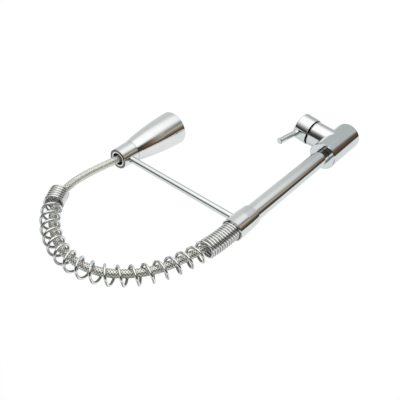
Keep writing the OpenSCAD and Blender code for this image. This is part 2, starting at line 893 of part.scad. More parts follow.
// inner radius of the bell's wall at a height
function bell_in(z) = let (c = bell_centre(), r = bell_arc - bell_wall)
    c[0] + sqrt(r * r - (z - c[1]) * (z - c[1]));

module bell_disc(shrink) {
    translate(bell_centre()) circle(r = bell_arc - shrink, $fn = 1440);
}

module head_shell() {
    r = mouth_d / 2;
    color("gainsboro") on_head() rotate_extrude() difference() {
        union() {
            intersection() {
                bell_disc(0);
                translate([0, mouth_z + rim_r])
                    square([2 * r, head_len - rim_r]);
            }
            translate([0, mouth_z]) square([r - rim_r, rim_r + 0.1]);
            translate([r - rim_r - 0.02, mouth_z + rim_r])
                circle(r = rim_r, $fn = 64);
        }
        intersection() {
            bell_disc(bell_wall);
            translate([-1, mouth_z - 1])
                square([2 * r, cavity_top - mouth_z + 1]);
        }
        translate([-1, mouth_z - 1]) square([thread_r + fit_gap + 1, far]);
    }
}

module head_connector() {
    color("gainsboro") on_head() rotate_extrude() difference() {
        polygon([
            [0, cavity_top], [thread_r, cavity_top],
            [thread_r, head_top + fit_gap], [connector_r, head_top + fit_gap],
            [connector_r, connector_top - 2 * connector_bevel],
            [connector_r - connector_bevel, connector_top],
            [0, connector_top]]);
        translate([-1, hose_stop - ferrule_foot])
            square([ferrule_r + fit_gap + 1, far]);
        translate([-1, 0]) square([ferrule_nipple_r + fit_gap + 1, far]);
    }
}

module head_ferrule() {
    color("silver") on_head() rotate_extrude() difference() {
        polygon([
            [0, cavity_top + ferrule_lift],
            [ferrule_nipple_r, cavity_top + ferrule_lift],
            [ferrule_nipple_r, hose_stop - ferrule_foot + fit_gap],
            [ferrule_r, hose_stop - ferrule_foot + fit_gap],
            [ferrule_r, connector_top - 0.5], [0, connector_top - 0.5]]);
        translate([-1, hose_stop - fit_gap])
            square([hose_d / 2 + bore_gap + 1, far]);
        translate([-1, 0]) square([ferrule_bore + 1, far]);
    }
}

module head_washer() {
    color("dimgray") on_head() tube(thread_r - 0.2, head_washer_bore,
        cavity_top - head_washer_t, cavity_top - fit_gap);
}

module check_valve() {
    z1 = cavity_top - head_washer_t - fit_gap;
    color("white") on_head() difference() {
        union() {
            translate([0, 0, z1 - valve_len])
                cylinder(r = valve_r - 0.1, h = valve_len);
            translate([0, 0, z1 - valve_flange_t])
                cylinder(r = valve_r + valve_flange, h = valve_flange_t);
        }
        for (a = [0 : 60 : 300]) rotate([0, 0, a])
            translate([valve_holes_at, 0, 0])
                cylinder(r = valve_hole_r, h = far);
    }
}

module inner_guide() {
    z1 = cavity_top - head_washer_t;
    zv = z1 - valve_len - 2 * fit_gap;
    zf = guide_flange_z;
    color("whitesmoke") on_head() rotate_extrude() difference() {
        polygon([
            [0, zf], [guide_flange_r, zf],
            [guide_flange_r, zf + guide_flange_t],
            [guide_cone_r, zf + guide_flange_t],
            [guide_neck_r, zf + guide_flange_t + guide_cone],
            [guide_neck_r, zv - guide_neck], [guide_r_top, zv],
            [guide_r_top, guide_top], [0, guide_top]]);
        // washer and valve pockets, bore, chamber above the nozzles
        translate([-1, z1 - valve_flange_t - 2 * fit_gap])
            square([thread_r + 1, far]);
        translate([-1, zv]) square([valve_r + 1, far]);
        translate([-1, zf - 1]) square([guide_bore + 1, far]);
        polygon([[0, zf - 1], [guide_flange_r - 2, zf - 1],
                 [guide_flange_r - 2, zf + 1.5], [guide_bore, zf + 4],
                 [0, zf + 4]]);
        translate([guide_oring_r - guide_oring_w / 2 - 0.05,
                   guide_oring_z - guide_oring_w / 2 - 0.25])
            square([guide_oring_w + 4, guide_oring_w + 0.5]);
    }
}

module guide_oring() {
    color("dimgray") on_head()
        torus(guide_oring_r, guide_oring_w, guide_oring_z);
}

module nozzle_spots(grow) {
    for (j = [0, 1], i = [0 : ring_n[j] - 1])
        rotate([0, 0, 360 * (i + j / 2) / ring_n[j]])
            translate([ring_r[j], 0, 0]) cylinder(r = nozzle_r + grow, h = far);
}

module spray_face() {
    color("slategray") on_head() difference() {
        rotate_extrude() polygon([
            [aerator_r + fit_gap, face_z], [face_r, face_z],
            [face_r, guide_flange_z - fit_gap],
            [face_r - face_rim, guide_flange_z - fit_gap],
            [face_r - face_rim, face_z + face_t],
            [aerator_r + fit_gap, face_z + face_t]]);
        intersection() {
            nozzle_spots(fit_gap);
            translate([0, 0, face_z - 1]) cylinder(r = face_r, h = face_t + 2);
        }
    }
}

module nozzle_mat() {
    z = face_z + face_t + fit_gap;
    color("lightgray") on_head() union() {
        tube(face_r - face_rim - 0.1, aerator_r + fit_gap, z, z + mat_t);
        intersection() {
            nozzle_spots(0);
            translate([0, 0, face_z - nozzle_out])
                cylinder(r = face_r, h = face_t + nozzle_out + mat_t / 2);
        }
    }
}

module aerator() {
    z0 = face_z - aerator_out;
    color("silver") on_head() difference() {
        union() {
            translate([0, 0, z0])
                cylinder(r = aerator_r, h = face_t + mat_t + 1);
            translate([0, 0, face_z + face_t + mat_t + 2 * fit_gap])
                cylinder(r = aerator_r + aerator_rim, h = 2 * aerator_rim);
        }
        translate([0, 0, z0 + 1.2])
            cylinder(r = aerator_r - aerator_wall, h = far);
        for (x = [-2 : 2], y = [-2 : 2]) if (norm([x, y]) < 2.6)
            translate([x, y, 0] * mesh_pitch + [-1, -1, 0] * mesh_hole / 2
                      + [0, 0, z0 - 1]) cube([mesh_hole, mesh_hole, 4]);
    }
}

// ---- assembly ----

valve_body();
base_seal();
retaining_screw();
cartridge_body();
cartridge_seal();
disc_fixed();
cartridge_nut();
dome_cover();
cartridge_carrier();
pivot_pin();
disc_moving();
lever_stem();
lever_cap();
pin_handle();
spout_spigot();
spigot_oring_lower();
spigot_oring_upper();
swivel_washer();
riser_tube();
riser_fitting();
collar();
arm_rod();
docking_sleeve();
dock_liner();
spring();
hose();
hose_tail_nut();
head_shell();
head_connector();
head_ferrule();
head_washer();
check_valve();
inner_guide();
guide_oring();
spray_face();
nozzle_mat();
aerator();
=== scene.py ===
"""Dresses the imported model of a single-lever kitchen faucet with a spring arch.

The faucet stands on z = 0 with its riser on the Z axis. The docking arm and the
spray head lie towards +X in the plane y = 0. Lengths are metres and angles are
radians, unless a comment says otherwise.
"""

import logging
import math
from collections.abc import Callable, Iterable
from dataclasses import dataclass, replace
from enum import Enum
from functools import reduce

import bmesh
import bpy
from mathutils import Matrix, Vector


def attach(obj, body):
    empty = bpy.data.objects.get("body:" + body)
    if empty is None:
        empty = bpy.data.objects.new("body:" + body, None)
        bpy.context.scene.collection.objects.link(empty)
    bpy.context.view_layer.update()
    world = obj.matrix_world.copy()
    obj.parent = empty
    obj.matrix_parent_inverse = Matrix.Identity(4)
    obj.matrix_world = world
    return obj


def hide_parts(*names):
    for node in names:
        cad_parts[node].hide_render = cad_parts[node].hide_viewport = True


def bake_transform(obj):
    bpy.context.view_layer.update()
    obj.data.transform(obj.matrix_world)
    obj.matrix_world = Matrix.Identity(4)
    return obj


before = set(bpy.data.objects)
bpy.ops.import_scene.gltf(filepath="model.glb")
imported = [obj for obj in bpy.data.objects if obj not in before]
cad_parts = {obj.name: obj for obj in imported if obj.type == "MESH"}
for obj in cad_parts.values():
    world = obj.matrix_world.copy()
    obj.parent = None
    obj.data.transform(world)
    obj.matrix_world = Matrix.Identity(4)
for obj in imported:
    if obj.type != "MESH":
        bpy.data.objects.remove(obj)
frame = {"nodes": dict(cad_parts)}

Point = tuple[float, float, float]
Colour = tuple[float, float, float]
Socket = bpy.types.NodeSocket
Sockets = bpy.types.bpy_prop_collection
Value = Socket | float | Colour
# The two values that something fades between, then its two results there, which
# are 0 and 1 where they are left out.
Ramp = tuple[float, ...]

LOG = logging.getLogger("faucet")
MM = 0.001
UV_MAP = "UVMap"
FOOT = (0.0, 0.0, 0.0)  # the riser's axis on the deck
UP = (0.0, 0.0, 1.0)
REACH = 215.0 * MM  # from the riser's axis to the spray head's
DOCK_TOP = 307.8 * MM  # height of the docking sleeve's rim
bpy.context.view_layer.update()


def link_mesh(name: str, shape: bmesh.types.BMesh, smooth: bool = False
              ) -> bpy.types.Object:
    """Makes an object of a bmesh and frees it.

    Args:
        name: the object's name.
        shape: the bmesh.
        smooth: whether its faces are shaded smooth.

    Returns:
        The new object.
    """
    for face in shape.faces:
        face.smooth = smooth
    mesh = bpy.data.meshes.new(name)
    shape.to_mesh(mesh)
    shape.free()
    made = bpy.data.objects.new(name, mesh)
    bpy.context.scene.collection.objects.link(made)
    return made


# ---- nodes ----


class Group(Enum):
    """The shared effects, each a node group that is built once."""

    SMUDGES = "smudges"
    GRAIN = "grain"
    BRAID = "braid"


class Mixed(Enum):
    """What a Mix node mixes: its data type, its first input and its output."""

    NUMBER = ("FLOAT", 2, 0)
    COLOUR = ("RGBA", 6, 2)


class Graph:
    """A short way to place and join the nodes of one tree."""

    def __init__(self, tree: bpy.types.NodeTree) -> None:
        """Keeps the tree that the nodes go into."""
        self.tree = tree

    def node(self, kind: str, **values: object) -> bpy.types.Node:
        """Adds a node.

        Args:
            kind: the node's type without its ShaderNode prefix.
            **values: attributes of the node.

        Returns:
            The new node.
        """
        prefix = "" if kind.startswith("NodeGroup") else "ShaderNode"
        made = self.tree.nodes.new(prefix + kind)
        for name, value in values.items():
            setattr(made, name, value)
        return made

    def join(self, out: Socket, into: Socket) -> None:
        """Links an output to an input."""
        self.tree.links.new(out, into)

    def feed(self, value: Value, into: Socket) -> None:
        """Links a socket to an input, or sets a plain value on it.

        Args:
            value: a socket, a number, or a colour without its alpha.
            into: the input.
        """
        if isinstance(value, Socket):
            self.join(value, into)
        elif into.type == "RGBA":
            into.default_value = (*value, 1.0)
        else:
            into.default_value = value

    def math(self, what: str, *values: Value) -> Socket:
        """Adds a Math node.

        Args:
            what: its operation.
            *values: sockets or numbers for its inputs.

        Returns:
            The result's socket.
        """
        made = self.node("Math", operation=what)
        for value, into in zip(values, made.inputs):
            self.feed(value, into)
        return made.outputs[0]

    def times(self, *values: Value) -> Socket:
        """Multiplies two or more values."""
        return reduce(lambda a, b: self.math("MULTIPLY", a, b), values)

    def plus(self, *values: Value) -> Socket:
        """Adds two or more values."""
        return reduce(lambda a, b: self.math("ADD", a, b), values)

    def smooth(self, value: Value, low: float, high: float, start: float = 0.0,
               end: float = 1.0, even: bool = False) -> Socket:
        """Maps a value from low..high to start..end, and no further.

        Args:
            value: the value.
            low: where it gives start.
            high: where it gives end.
            start: the result at and before low.
            end: the result at and after high.
            even: whether it runs evenly, in place of smoothly.

        Returns:
            The result's socket.
        """
        made = self.node("MapRange", interpolation_type="LINEAR" if even
                         else "SMOOTHSTEP")
        self.feed(value, made.inputs["Value"])
        for name, limit in (("From Min", low), ("From Max", high),
                            ("To Min", start), ("To Max", end)):
            made.inputs[name].default_value = limit
        return made.outputs["Result"]

    def mixed(self, kind: Mixed, share: Value, first: Value, second: Value
              ) -> Socket:
        """Mixes two numbers or colours.

        Args:
            kind: which of the two.
            share: how much of the second.
            first: the first number or colour.
            second: the second one.

        Returns:
            The result's socket.
        """
        data_type, slot, out = kind.value
        made = self.node("Mix", data_type=data_type)
        for into, value in ((0, share), (slot, first), (slot + 1, second)):
            self.feed(value, made.inputs[into])
        return made.outputs[out]

    def pick(self, share: Value, first: Value, second: Value) -> Socket:
        """Mixes two numbers by a share of the second."""
        return self.mixed(Mixed.NUMBER, share, first, second)

    def mix(self, share: Value, first: Value, second: Value) -> Socket:
        """Mixes two colours by a share of the second."""
        return self.mixed(Mixed.COLOUR, share, first, second)

    def light(self, colour: Value, strength: float = 1.0) -> Socket:
        """Adds a Background.

        Args:
            colour: its colour.
            strength: how strong it is.

        Returns:
            Its shader's socket.
        """
        made = self.node("Background")
        self.feed(colour, made.inputs["Color"])
        made.inputs["Strength"].default_value = strength
        return made.outputs[0]

    def shade(self, share: Value, first: Socket, second: Socket) -> Socket:
        """Mixes two shaders.

        Args:
            share: how much of the second.
            first: the first shader.
            second: the second one.

        Returns:
            The result's socket.
        """
        made = self.node("MixShader")
        for into, value in enumerate((share, first, second)):
            self.feed(value, made.inputs[into])
        return made.outputs[0]

    def place(self) -> Socket:
        """The Object coordinates."""
        return self.node("TexCoord").outputs["Object"]

    def unwrapped(self) -> tuple[Socket, Socket]:
        """A tube's surface coordinates.

        Returns:
            Turns round the tube and metres along it, from its UV map.
        """
        spot = self.node("SeparateXYZ")
        self.join(self.node("UVMap", uv_map=UV_MAP).outputs[0], spot.inputs[0])
        return spot.outputs["X"], spot.outputs["Y"]

    def noise(self, place: Socket, scale: Socket, detail: float) -> Socket:
        """Adds a Noise Texture.

        Args:
            place: its coordinates.
            scale: how fine it is.
            detail: how many finer layers it has.

        Returns:
            The noise's socket.
        """
        made = self.node("TexNoise")
        made.inputs["Detail"].default_value = detail
        self.join(place, made.inputs["Vector"])
        self.join(scale, made.inputs["Scale"])
        return made.outputs[0]

    def bump(self, height: Socket, metres: float) -> Socket:
        """Turns a height mask into a normal.

        Args:
            height: the mask.
            metres: the height where it is 1.

        Returns:
            The normal's socket.
        """
        made = self.node("Bump")
        made.inputs["Distance"].default_value = metres
        self.join(height, made.inputs["Height"])
        return made.outputs[0]

    def effect(self, kind: Group, **values: float) -> Sockets:
        """Places a shared effect.

        Args:
            kind: which effect.
            **values: its inputs' values.

        Returns:
            The group node's outputs.
        """
        made = self.node("Group")
        made.node_tree = Effects.get(kind)
        for name, value in values.items():
            made.inputs[name].default_value = value
        return made.outputs


class Effects:
    """Builds the shared effects' node groups.

    Attributes:
        inputs: each group's inputs, with their first values.
        outputs: each group's outputs.
        cloud: the noise's levels where a smudge starts and is full.
        cloud_detail: how many finer layers the smudges' noise has.
        grain_detail: how many the grain's noise has.
        corner: the levels where the gap between four bands starts and is full.
        seam: the same for the shallow seam between two bands.
    """

    inputs: dict[Group, tuple[tuple[str, float], ...]] = {
        Group.SMUDGES: (("Scale", 40.0),),
        Group.GRAIN: (("Scale", 900.0), ("Stretch", 1.0)),
        Group.BRAID: (("Bands", 8.0), ("Pitch", 0.0272), ("Wires", 6.0)),
    }
    outputs: dict[Group, tuple[str, ...]] = {
        Group.SMUDGES: ("Mask",),
        Group.GRAIN: ("Mask",),
        Group.BRAID: ("Gap", "Wire", "Tone"),
    }
    cloud: Ramp = (0.42, 0.72)
    cloud_detail: float = 5.0
    grain_detail: float = 2.0
    corner: Ramp = (0.20, 0.55)
    seam: Ramp = (0.82, 1.0, 0.0, 0.6)

    @classmethod
    def get(cls, kind: Group) -> bpy.types.NodeTree:
        """Gives an effect's node group, built at its first use.

        Args:
            kind: which effect.

        Returns:
            The node group.
        """
        if kind.value in bpy.data.node_groups:
            return bpy.data.node_groups[kind.value]
        tree = bpy.data.node_groups.new(kind.value, "ShaderNodeTree")
        for name, value in cls.inputs[kind]:
            socket = tree.interface.new_socket(
                name, in_out="INPUT", socket_type="NodeSocketFloat")
            socket.default_value = value
        for name in cls.outputs[kind]:
            tree.interface.new_socket(name, in_out="OUTPUT",
                                      socket_type="NodeSocketFloat")
        graph = Graph(tree)
        draw = {Group.SMUDGES: cls.smudges, Group.GRAIN: cls.grain,
                Group.BRAID: cls.braid}[kind]
        draw(graph, graph.node("NodeGroupInput").outputs,
             graph.node("NodeGroupOutput").inputs)
        return tree

    @classmethod
    def smudges(cls, graph: Graph, inlet: Sockets, outlet: Sockets) -> None:
        """Draws faint cloudy wiping marks.

        Args:
            graph: the group's nodes.
            inlet: the group's inputs, with how fine the marks are.
            outlet: the group's outputs.
        """
        noise = graph.noise(graph.place(), inlet["Scale"], cls.cloud_detail)
        graph.join(graph.smooth(noise, *cls.cloud), outlet["Mask"])

    @classmethod
    def grain(cls, graph: Graph, inlet: Sockets, outlet: Sockets) -> None:
        """Draws fine grain, longer along Z where Stretch is below 1.

        Args:
            graph: the group's nodes.
            inlet: the group's inputs.
            outlet: the group's outputs.
        """
        stretch = graph.node("CombineXYZ")
        stretch.inputs["X"].default_value = 1.0
        stretch.inputs["Y"].default_value = 1.0
        graph.join(inlet["Stretch"], stretch.inputs["Z"])
        longer = graph.node("VectorMath", operation="MULTIPLY")
        graph.join(graph.place(), longer.inputs[0])
        graph.join(stretch.outputs[0], longer.inputs[1])
        graph.join(graph.noise(longer.outputs[0], inlet["Scale"],
                               cls.grain_detail), outlet["Mask"])

    @classmethod
    def braid(cls, graph: Graph, inlet: Sockets, outlet: Sockets) -> None:
        """Draws two sets of bands of wires that cross over and under.

        Args:
            graph: the group's nodes.
            inlet: the group's inputs.
            outlet: the group's outputs, with the gaps between the bands, the
                single wires and each band's own tone.
        """
        around, along = graph.unwrapped()
        lays = graph.math("DIVIDE", along, inlet["Pitch"])
        sets = [graph.times(graph.math(way, around, lays), inlet["Bands"])
                for way in ("ADD", "SUBTRACT")]
        over = graph.math("FLOORED_MODULO", graph.plus(
            *[graph.math("FLOOR", band) for band in sets]), 2.0)
        edges, tones, wires = [], [], []
        for band in sets:
            across = graph.math("FRACT", band)
            edges.append(graph.math("ABSOLUTE", graph.math(
                "MULTIPLY_ADD", across, 2.0, -1.0)))
            tone = graph.node("TexWhiteNoise", noise_dimensions="1D")
            graph.join(graph.math("FLOOR", band), tone.inputs["W"])
            tones.append(tone.outputs["Value"])
            wires.append(graph.math("ABSOLUTE", graph.math("SINE", graph.times(
                across, inlet["Wires"], math.pi))))
        corner = graph.smooth(graph.times(*edges), *cls.corner)
        seam = graph.smooth(graph.pick(over, *edges), *cls.seam)
        graph.join(graph.math("MAXIMUM", corner, seam), outlet["Gap"])
        graph.join(graph.pick(over, *wires), outlet["Wire"])
        graph.join(graph.pick(over, *tones), outlet["Tone"])


# ---- studio ----


@dataclass(frozen=True)
class View:
    """The studio camera.

    Attributes:
        place: where it stands.
        right: the way to the right of its frame.
        down: the way to the bottom of its frame.
        ahead: the way that it looks.
        lens: its focal length in millimetres.
        sensor: its sensor's width in millimetres.
    """

    place: Point = (-0.2830, -0.4932, 0.7804)
    right: Point = (-0.7714, -0.07169, -0.6323)
    down: Point = (-0.44672, 0.76865, 0.45784)
    ahead: Point = (0.4532, 0.63564, -0.62496)
    lens: float = 51.25
    sensor: float = 36.0

    def make(self) -> None:
        """Creates the camera and makes it the scene's."""
        data = bpy.data.cameras.new("studio_camera")
        data.lens = self.lens
        data.sensor_width = self.sensor
        camera = bpy.data.objects.new("studio_camera", data)
        bpy.context.scene.collection.objects.link(camera)
        turn = Matrix((self.right, -Vector(self.down), -Vector(self.ahead)))
        camera.matrix_world = (Matrix.Translation(self.place)
                               @ turn.transposed().to_4x4())
        bpy.context.scene.camera = camera


@dataclass(frozen=True)
class Aim:
    """The direction in which a polished surface mirrors the room.

    Its length is 1, so each part of it lies between -1 and 1.

    Attributes:
        along: its part towards +X.
        height: its part towards -Y, where the soft box hangs.
        up: its part towards +Z.
        lifted: its height, with more of it where the soft box reaches lower.
    """

    along: Socket
    height: Socket
    up: Socket
    lifted: Socket


@dataclass(frozen=True)
class Walls:
    """The lit wall, and the soft box that hangs before it.

    Attributes:
        dim: the wall's colour low in the room.
        lit: its colour further up.
        box: the soft box's colour.
        light_up: where the wall turns from dim to lit, by Z.
        box_edge: where the soft box starts, by lifted height.
    """

    dim: Colour = (0.47, 0.50, 0.50)
    lit: Colour = (0.62, 0.64, 0.63)
    box: Colour = (1.13, 1.13, 1.11)
    light_up: Ramp = (-0.81, -0.69)
    box_edge: Ramp = (0.56, 0.94)

    def colour(self, graph: Graph, aim: Aim) -> Socket:
        """The wall's or the soft box's colour in a direction."""
        wall = graph.mix(graph.smooth(aim.up, *self.light_up), self.dim, self.lit)
        return graph.mix(graph.smooth(aim.lifted, *self.box_edge), wall, self.box)


@dataclass(frozen=True)
class DarkField:
    """The unlit part of the room: black, and low in it a brown band.

    Attributes:
        black: the colour of its upper part.
        furniture: the band's heights, each with the colour there.
        wood: the colour of the band's two ends.
        wood_foot: the ends' colour at their foot.
        black_from: where the band gives way to black, by Z.
        factor: what the height is multiplied by to find the band's colour, by
            Z, as a sum of parts.
        ends: where the band's two ends are, by Z.
        ends_from: where they start, by height.
        foot_end: where their foot ends, by height.
        low_lean: how much the field's side leans with Z, low in the room.
        low_side: that side, by Z times the lean, less X.
        low_top: its top there, by height.
        slope: how much its top falls with X, high in the room.
        slope_most: the most that it falls.
        high_side: its sloping top there, by height.
        high_top: its flat top there, by lifted height.
        high_from: where high in the room starts, by Z.
    """

    black: Colour = (0.045, 0.046, 0.039)
    furniture: tuple[tuple[float, Colour], ...] = (
        (-0.20, (0.044, 0.044, 0.040)), (0.05, (0.048, 0.044, 0.038)),
        (0.12, (0.078, 0.060, 0.042)), (0.18, (0.120, 0.088, 0.058)),
        (0.24, (0.150, 0.114, 0.080)), (0.30, (0.225, 0.185, 0.138)),
        (0.38, (0.345, 0.310, 0.250)), (0.46, (0.480, 0.450, 0.375)),
        (0.52, (0.330, 0.310, 0.260)), (0.60, (0.265, 0.255, 0.210)),
        (0.70, (0.400, 0.400, 0.360)))
    wood: Colour = (0.200, 0.122, 0.080)
    wood_foot: Colour = (0.120, 0.068, 0.040)
    black_from: Ramp = (-0.38, -0.24)
    factor: tuple[Ramp, ...] = ((-0.74, -0.66, 1.35, 1.0), (-0.48, -0.43, 0.0, 0.3))
    ends: tuple[Ramp, ...] = ((-0.79, -0.73, 1.0, 0.0), (-0.46, -0.32))
    ends_from: Ramp = (0.06, 0.20)
    foot_end: Ramp = (0.20, 0.36)
    low_lean: float = 0.5
    low_side: Ramp = (-0.03, 0.12)
    low_top: Ramp = (0.62, 0.86, 1.0, 0.0)
    slope: float = 2.0
    slope_most: float = 0.69
    high_side: Ramp = (0.92, 1.52, 1.0, 0.0)
    high_top: Ramp = (0.78, 0.94, 1.0, 0.0)
    high_from: Ramp = (-0.24, 0.05)

    def share(self, graph: Graph, aim: Aim) -> Socket:
        """How far a direction looks into the field.

        Args:
            graph: the world's nodes.
            aim: the direction.

        Returns:
            0 outside the field and 1 inside it.
        """
        beside = graph.math("MULTIPLY_ADD", aim.up, self.low_lean,
                            graph.times(aim.along, -1.0))
        low = graph.times(graph.smooth(beside, *self.low_side),
                          graph.smooth(aim.height, *self.low_top))
        fall = graph.math("MINIMUM", graph.times(aim.along, self.slope),
                          self.slope_most)
        high = graph.times(
            graph.smooth(graph.plus(aim.height, fall), *self.high_side),
            graph.smooth(aim.lifted, *self.high_top))
        return graph.pick(graph.smooth(aim.up, *self.high_from), low, high)

    def band(self, graph: Graph, aim: Aim) -> Socket:
        """The furniture's colour, by its height.

        Args:
            graph: the world's nodes.
            aim: the direction.

        Returns:
            The colour's socket.
        """
        ramp = graph.node("ValToRGB")
        steps = ramp.color_ramp.elements
        low, high = self.furniture[0][0], self.furniture[-1][0]
        for place, _ in self.furniture[1:-1]:
            steps.new((place - low) / (high - low))
        for step, (_, colour) in zip(steps, self.furniture):
            step.color = (*colour, 1.0)
        factor = graph.plus(*[graph.smooth(aim.up, *part) for part in self.factor])
        graph.join(graph.smooth(graph.times(aim.height, factor), low, high,
                                even=True), ramp.inputs[0])
        return ramp.outputs[0]

    def colour(self, graph: Graph, aim: Aim) -> Socket:
        """The field's colour in a direction.

        Args:
            graph: the world's nodes.
            aim: the direction.

        Returns:
            The colour's socket.
        """
        ends = graph.math("MAXIMUM", *[graph.smooth(aim.up, *end)
                                       for end in self.ends])
        share = graph.times(ends, graph.smooth(aim.height, *self.ends_from))
        wood = graph.mix(graph.smooth(aim.height, *self.foot_end),
                         self.wood_foot, self.wood)
        band = graph.mix(share, self.band(graph, aim), wood)
        return graph.mix(graph.smooth(aim.up, *self.black_from), band, self.black)


@dataclass(frozen=True)
class Paper:
    """The pale paper sweep, with a shelf and a curtain before it.

    Attributes:
        pale: the paper's colour.
        lit: its colour where it is lit most.
        shaded: its colour at its foot.
        shelf: the shelf's colour.
        curtain: the curtain's colour.
        foot: where the foot's shade ends, by height.
        lit_span: where the lit stretch starts and ends, by Z.
        shelf_side: the shelf's side, by X.
        shelf_top: its upper edge, by height.
        shelf_end: where it starts, by Z.
        curtain_side: the curtain's side, by X.
        curtain_top: its upper edge, by height.
        rim: the height of the paper's upper edge, by Z, as a sum of parts.
        rim_blur: how soft that edge is.
    """

    pale: Colour = (0.715, 0.775, 0.760)
    lit: Colour = (0.850, 0.850, 0.840)
    shaded: Colour = (0.47, 0.49, 0.49)
    shelf: Colour = (0.20, 0.20, 0.19)
    curtain: Colour = (0.07, 0.07, 0.07)
    foot: Ramp = (-0.97, -0.82)
    lit_span: tuple[Ramp, Ramp] = ((-0.82, -0.5), (-0.2, 0.4, 1.0, 0.0))
    shelf_side: Ramp = (-0.2, 0.05, 1.0, 0.0)
    shelf_top: Ramp = (-0.4, -0.15, 1.0, 0.0)
    shelf_end: Ramp = (-0.02, 0.2)
    curtain_side: Ramp = (0.70, 0.80)
    curtain_top: Ramp = (-0.35, -0.2, 1.0, 0.0)
    rim: tuple[Ramp, ...] = ((-0.60, -0.08, -0.165, 0.0),
                             (-0.82, -0.72, 0.06, 0.0), (-0.70, -0.65, 0.0, 0.05))
    rim_blur: float = 0.035

    def beyond(self, graph: Graph, aim: Aim) -> Socket:
        """How far a direction looks over the paper's upper edge.

        Args:
            graph: the world's nodes.
            aim: the direction.

        Returns:
            0 on the paper and 1 above it.
        """
        rim = graph.plus(*[graph.smooth(aim.up, *part) for part in self.rim])
        return graph.smooth(graph.math("SUBTRACT", aim.height, rim),
                            -self.rim_blur, self.rim_blur)

    def colour(self, graph: Graph, aim: Aim) -> Socket:
        """The colour in a direction, with what stands before the paper.

        Args:
            graph: the world's nodes.
            aim: the direction.

        Returns:
            The colour's socket.
        """
        bright = graph.times(*[graph.smooth(aim.up, *end) for end in self.lit_span])
        paper = graph.mix(graph.smooth(aim.height, *self.foot), self.shaded,
                          graph.mix(bright, self.pale, self.lit))
        shelf = graph.times(graph.smooth(aim.along, *self.shelf_side),
                            graph.smooth(aim.height, *self.shelf_top),
                            graph.smooth(aim.up, *self.shelf_end))
        curtain = graph.times(graph.smooth(aim.along, *self.curtain_side),
                              graph.smooth(aim.height, *self.curtain_top))
        return graph.mix(curtain, graph.mix(shelf, paper, self.shelf), self.curtain)


@dataclass(frozen=True)
class Room:
    """The room round the faucet, which only polished surfaces show.

    Attributes:
        walls: its lit part.
        dark: its unlit part.
        paper: the paper sweep towards +Y.
        lift: how much lower the soft box reaches, by X.
        lift_from: where it starts to reach lower, by Z.
        fill: the strength of the even white light on matt surfaces.
    """

    walls: Walls = Walls()
    dark: DarkField = DarkField()
    paper: Paper = Paper()
    lift: Ramp = (-0.15, 0.1, 0.14, 0.0)
    lift_from: Ramp = (-0.35, -0.1)
    fill: float = 0.72

    def make(self) -> None:
        """Builds the world: white to the camera, the room to what shines."""
        world = bpy.data.worlds.new("studio")
        bpy.context.scene.world = world
        world.use_nodes = True
        world.node_tree.nodes.clear()
        graph = Graph(world.node_tree)
        white = (1.0, 1.0, 1.0)
        path = graph.node("LightPath").outputs
        shine = graph.shade(path["Is Glossy Ray"], graph.light(white, self.fill),
                            graph.light(self.shown(graph)))
        seen = graph.math("MAXIMUM", path["Is Camera Ray"],
                          path["Is Transmission Ray"])
        graph.join(graph.shade(seen, shine, graph.light(white)),
                   graph.node("OutputWorld").inputs[0])

    def aim(self, graph: Graph) -> Aim:
        """The direction of a ray.

        Args:
            graph: the world's nodes.

        Returns:
            The direction's parts.
        """
        parts = graph.node("SeparateXYZ")
        graph.join(graph.node("TexCoord").outputs["Generated"], parts.inputs[0])
        along, up = parts.outputs["X"], parts.outputs["Z"]
        height = graph.times(parts.outputs["Y"], -1.0)
        lift = graph.times(graph.smooth(along, *self.lift),
                           graph.smooth(up, *self.lift_from))
        return Aim(along, height, up, graph.plus(height, lift))

    def shown(self, graph: Graph) -> Socket:
        """The room's colour in the direction of a ray.

        Args:
            graph: the world's nodes.

        Returns:
            The colour's socket.
        """
        aim = self.aim(graph)
        room = graph.mix(self.dark.share(graph, aim),
                         self.walls.colour(graph, aim),
                         self.dark.colour(graph, aim))
        return graph.mix(self.paper.beyond(graph, aim),
                         self.paper.colour(graph, aim), room)


@dataclass(frozen=True)
class Floor:
    """The pale floor that the faucet stands on.

    Attributes:
        half: half its side.
        colour: its colour.
        glow: how much of what the camera sees of it is even white light.
        strength: the strength of that light.
    """

    half: float = 6.0
    colour: Colour = (0.97, 0.97, 0.97)
    glow: float = 0.86
    strength: float = 1.045

    def make(self) -> None:
        """Builds the floor, white to the camera and with a faint shadow."""
        shape = bmesh.new()
        bmesh.ops.create_grid(shape, x_segments=1, y_segments=1, size=self.half)
        floor = link_mesh("floor", shape)
        paint = bpy.data.materials.new("floor_white")
        paint.use_nodes = True
        paint.node_tree.nodes.clear()
        graph = Graph(paint.node_tree)
        matte = graph.node("BsdfDiffuse")
        graph.feed(self.colour, matte.inputs["Color"])
        glow = graph.node("Emission")
        glow.inputs["Strength"].default_value = self.strength
        path = graph.node("LightPath").outputs
        share = graph.times(path["Is Camera Ray"], self.glow)
        graph.join(graph.shade(share, matte.outputs[0], glow.outputs[0]),
                   graph.node("OutputMaterial").inputs[0])
        floor.data.materials.append(paint)
        floor.visible_glossy = False


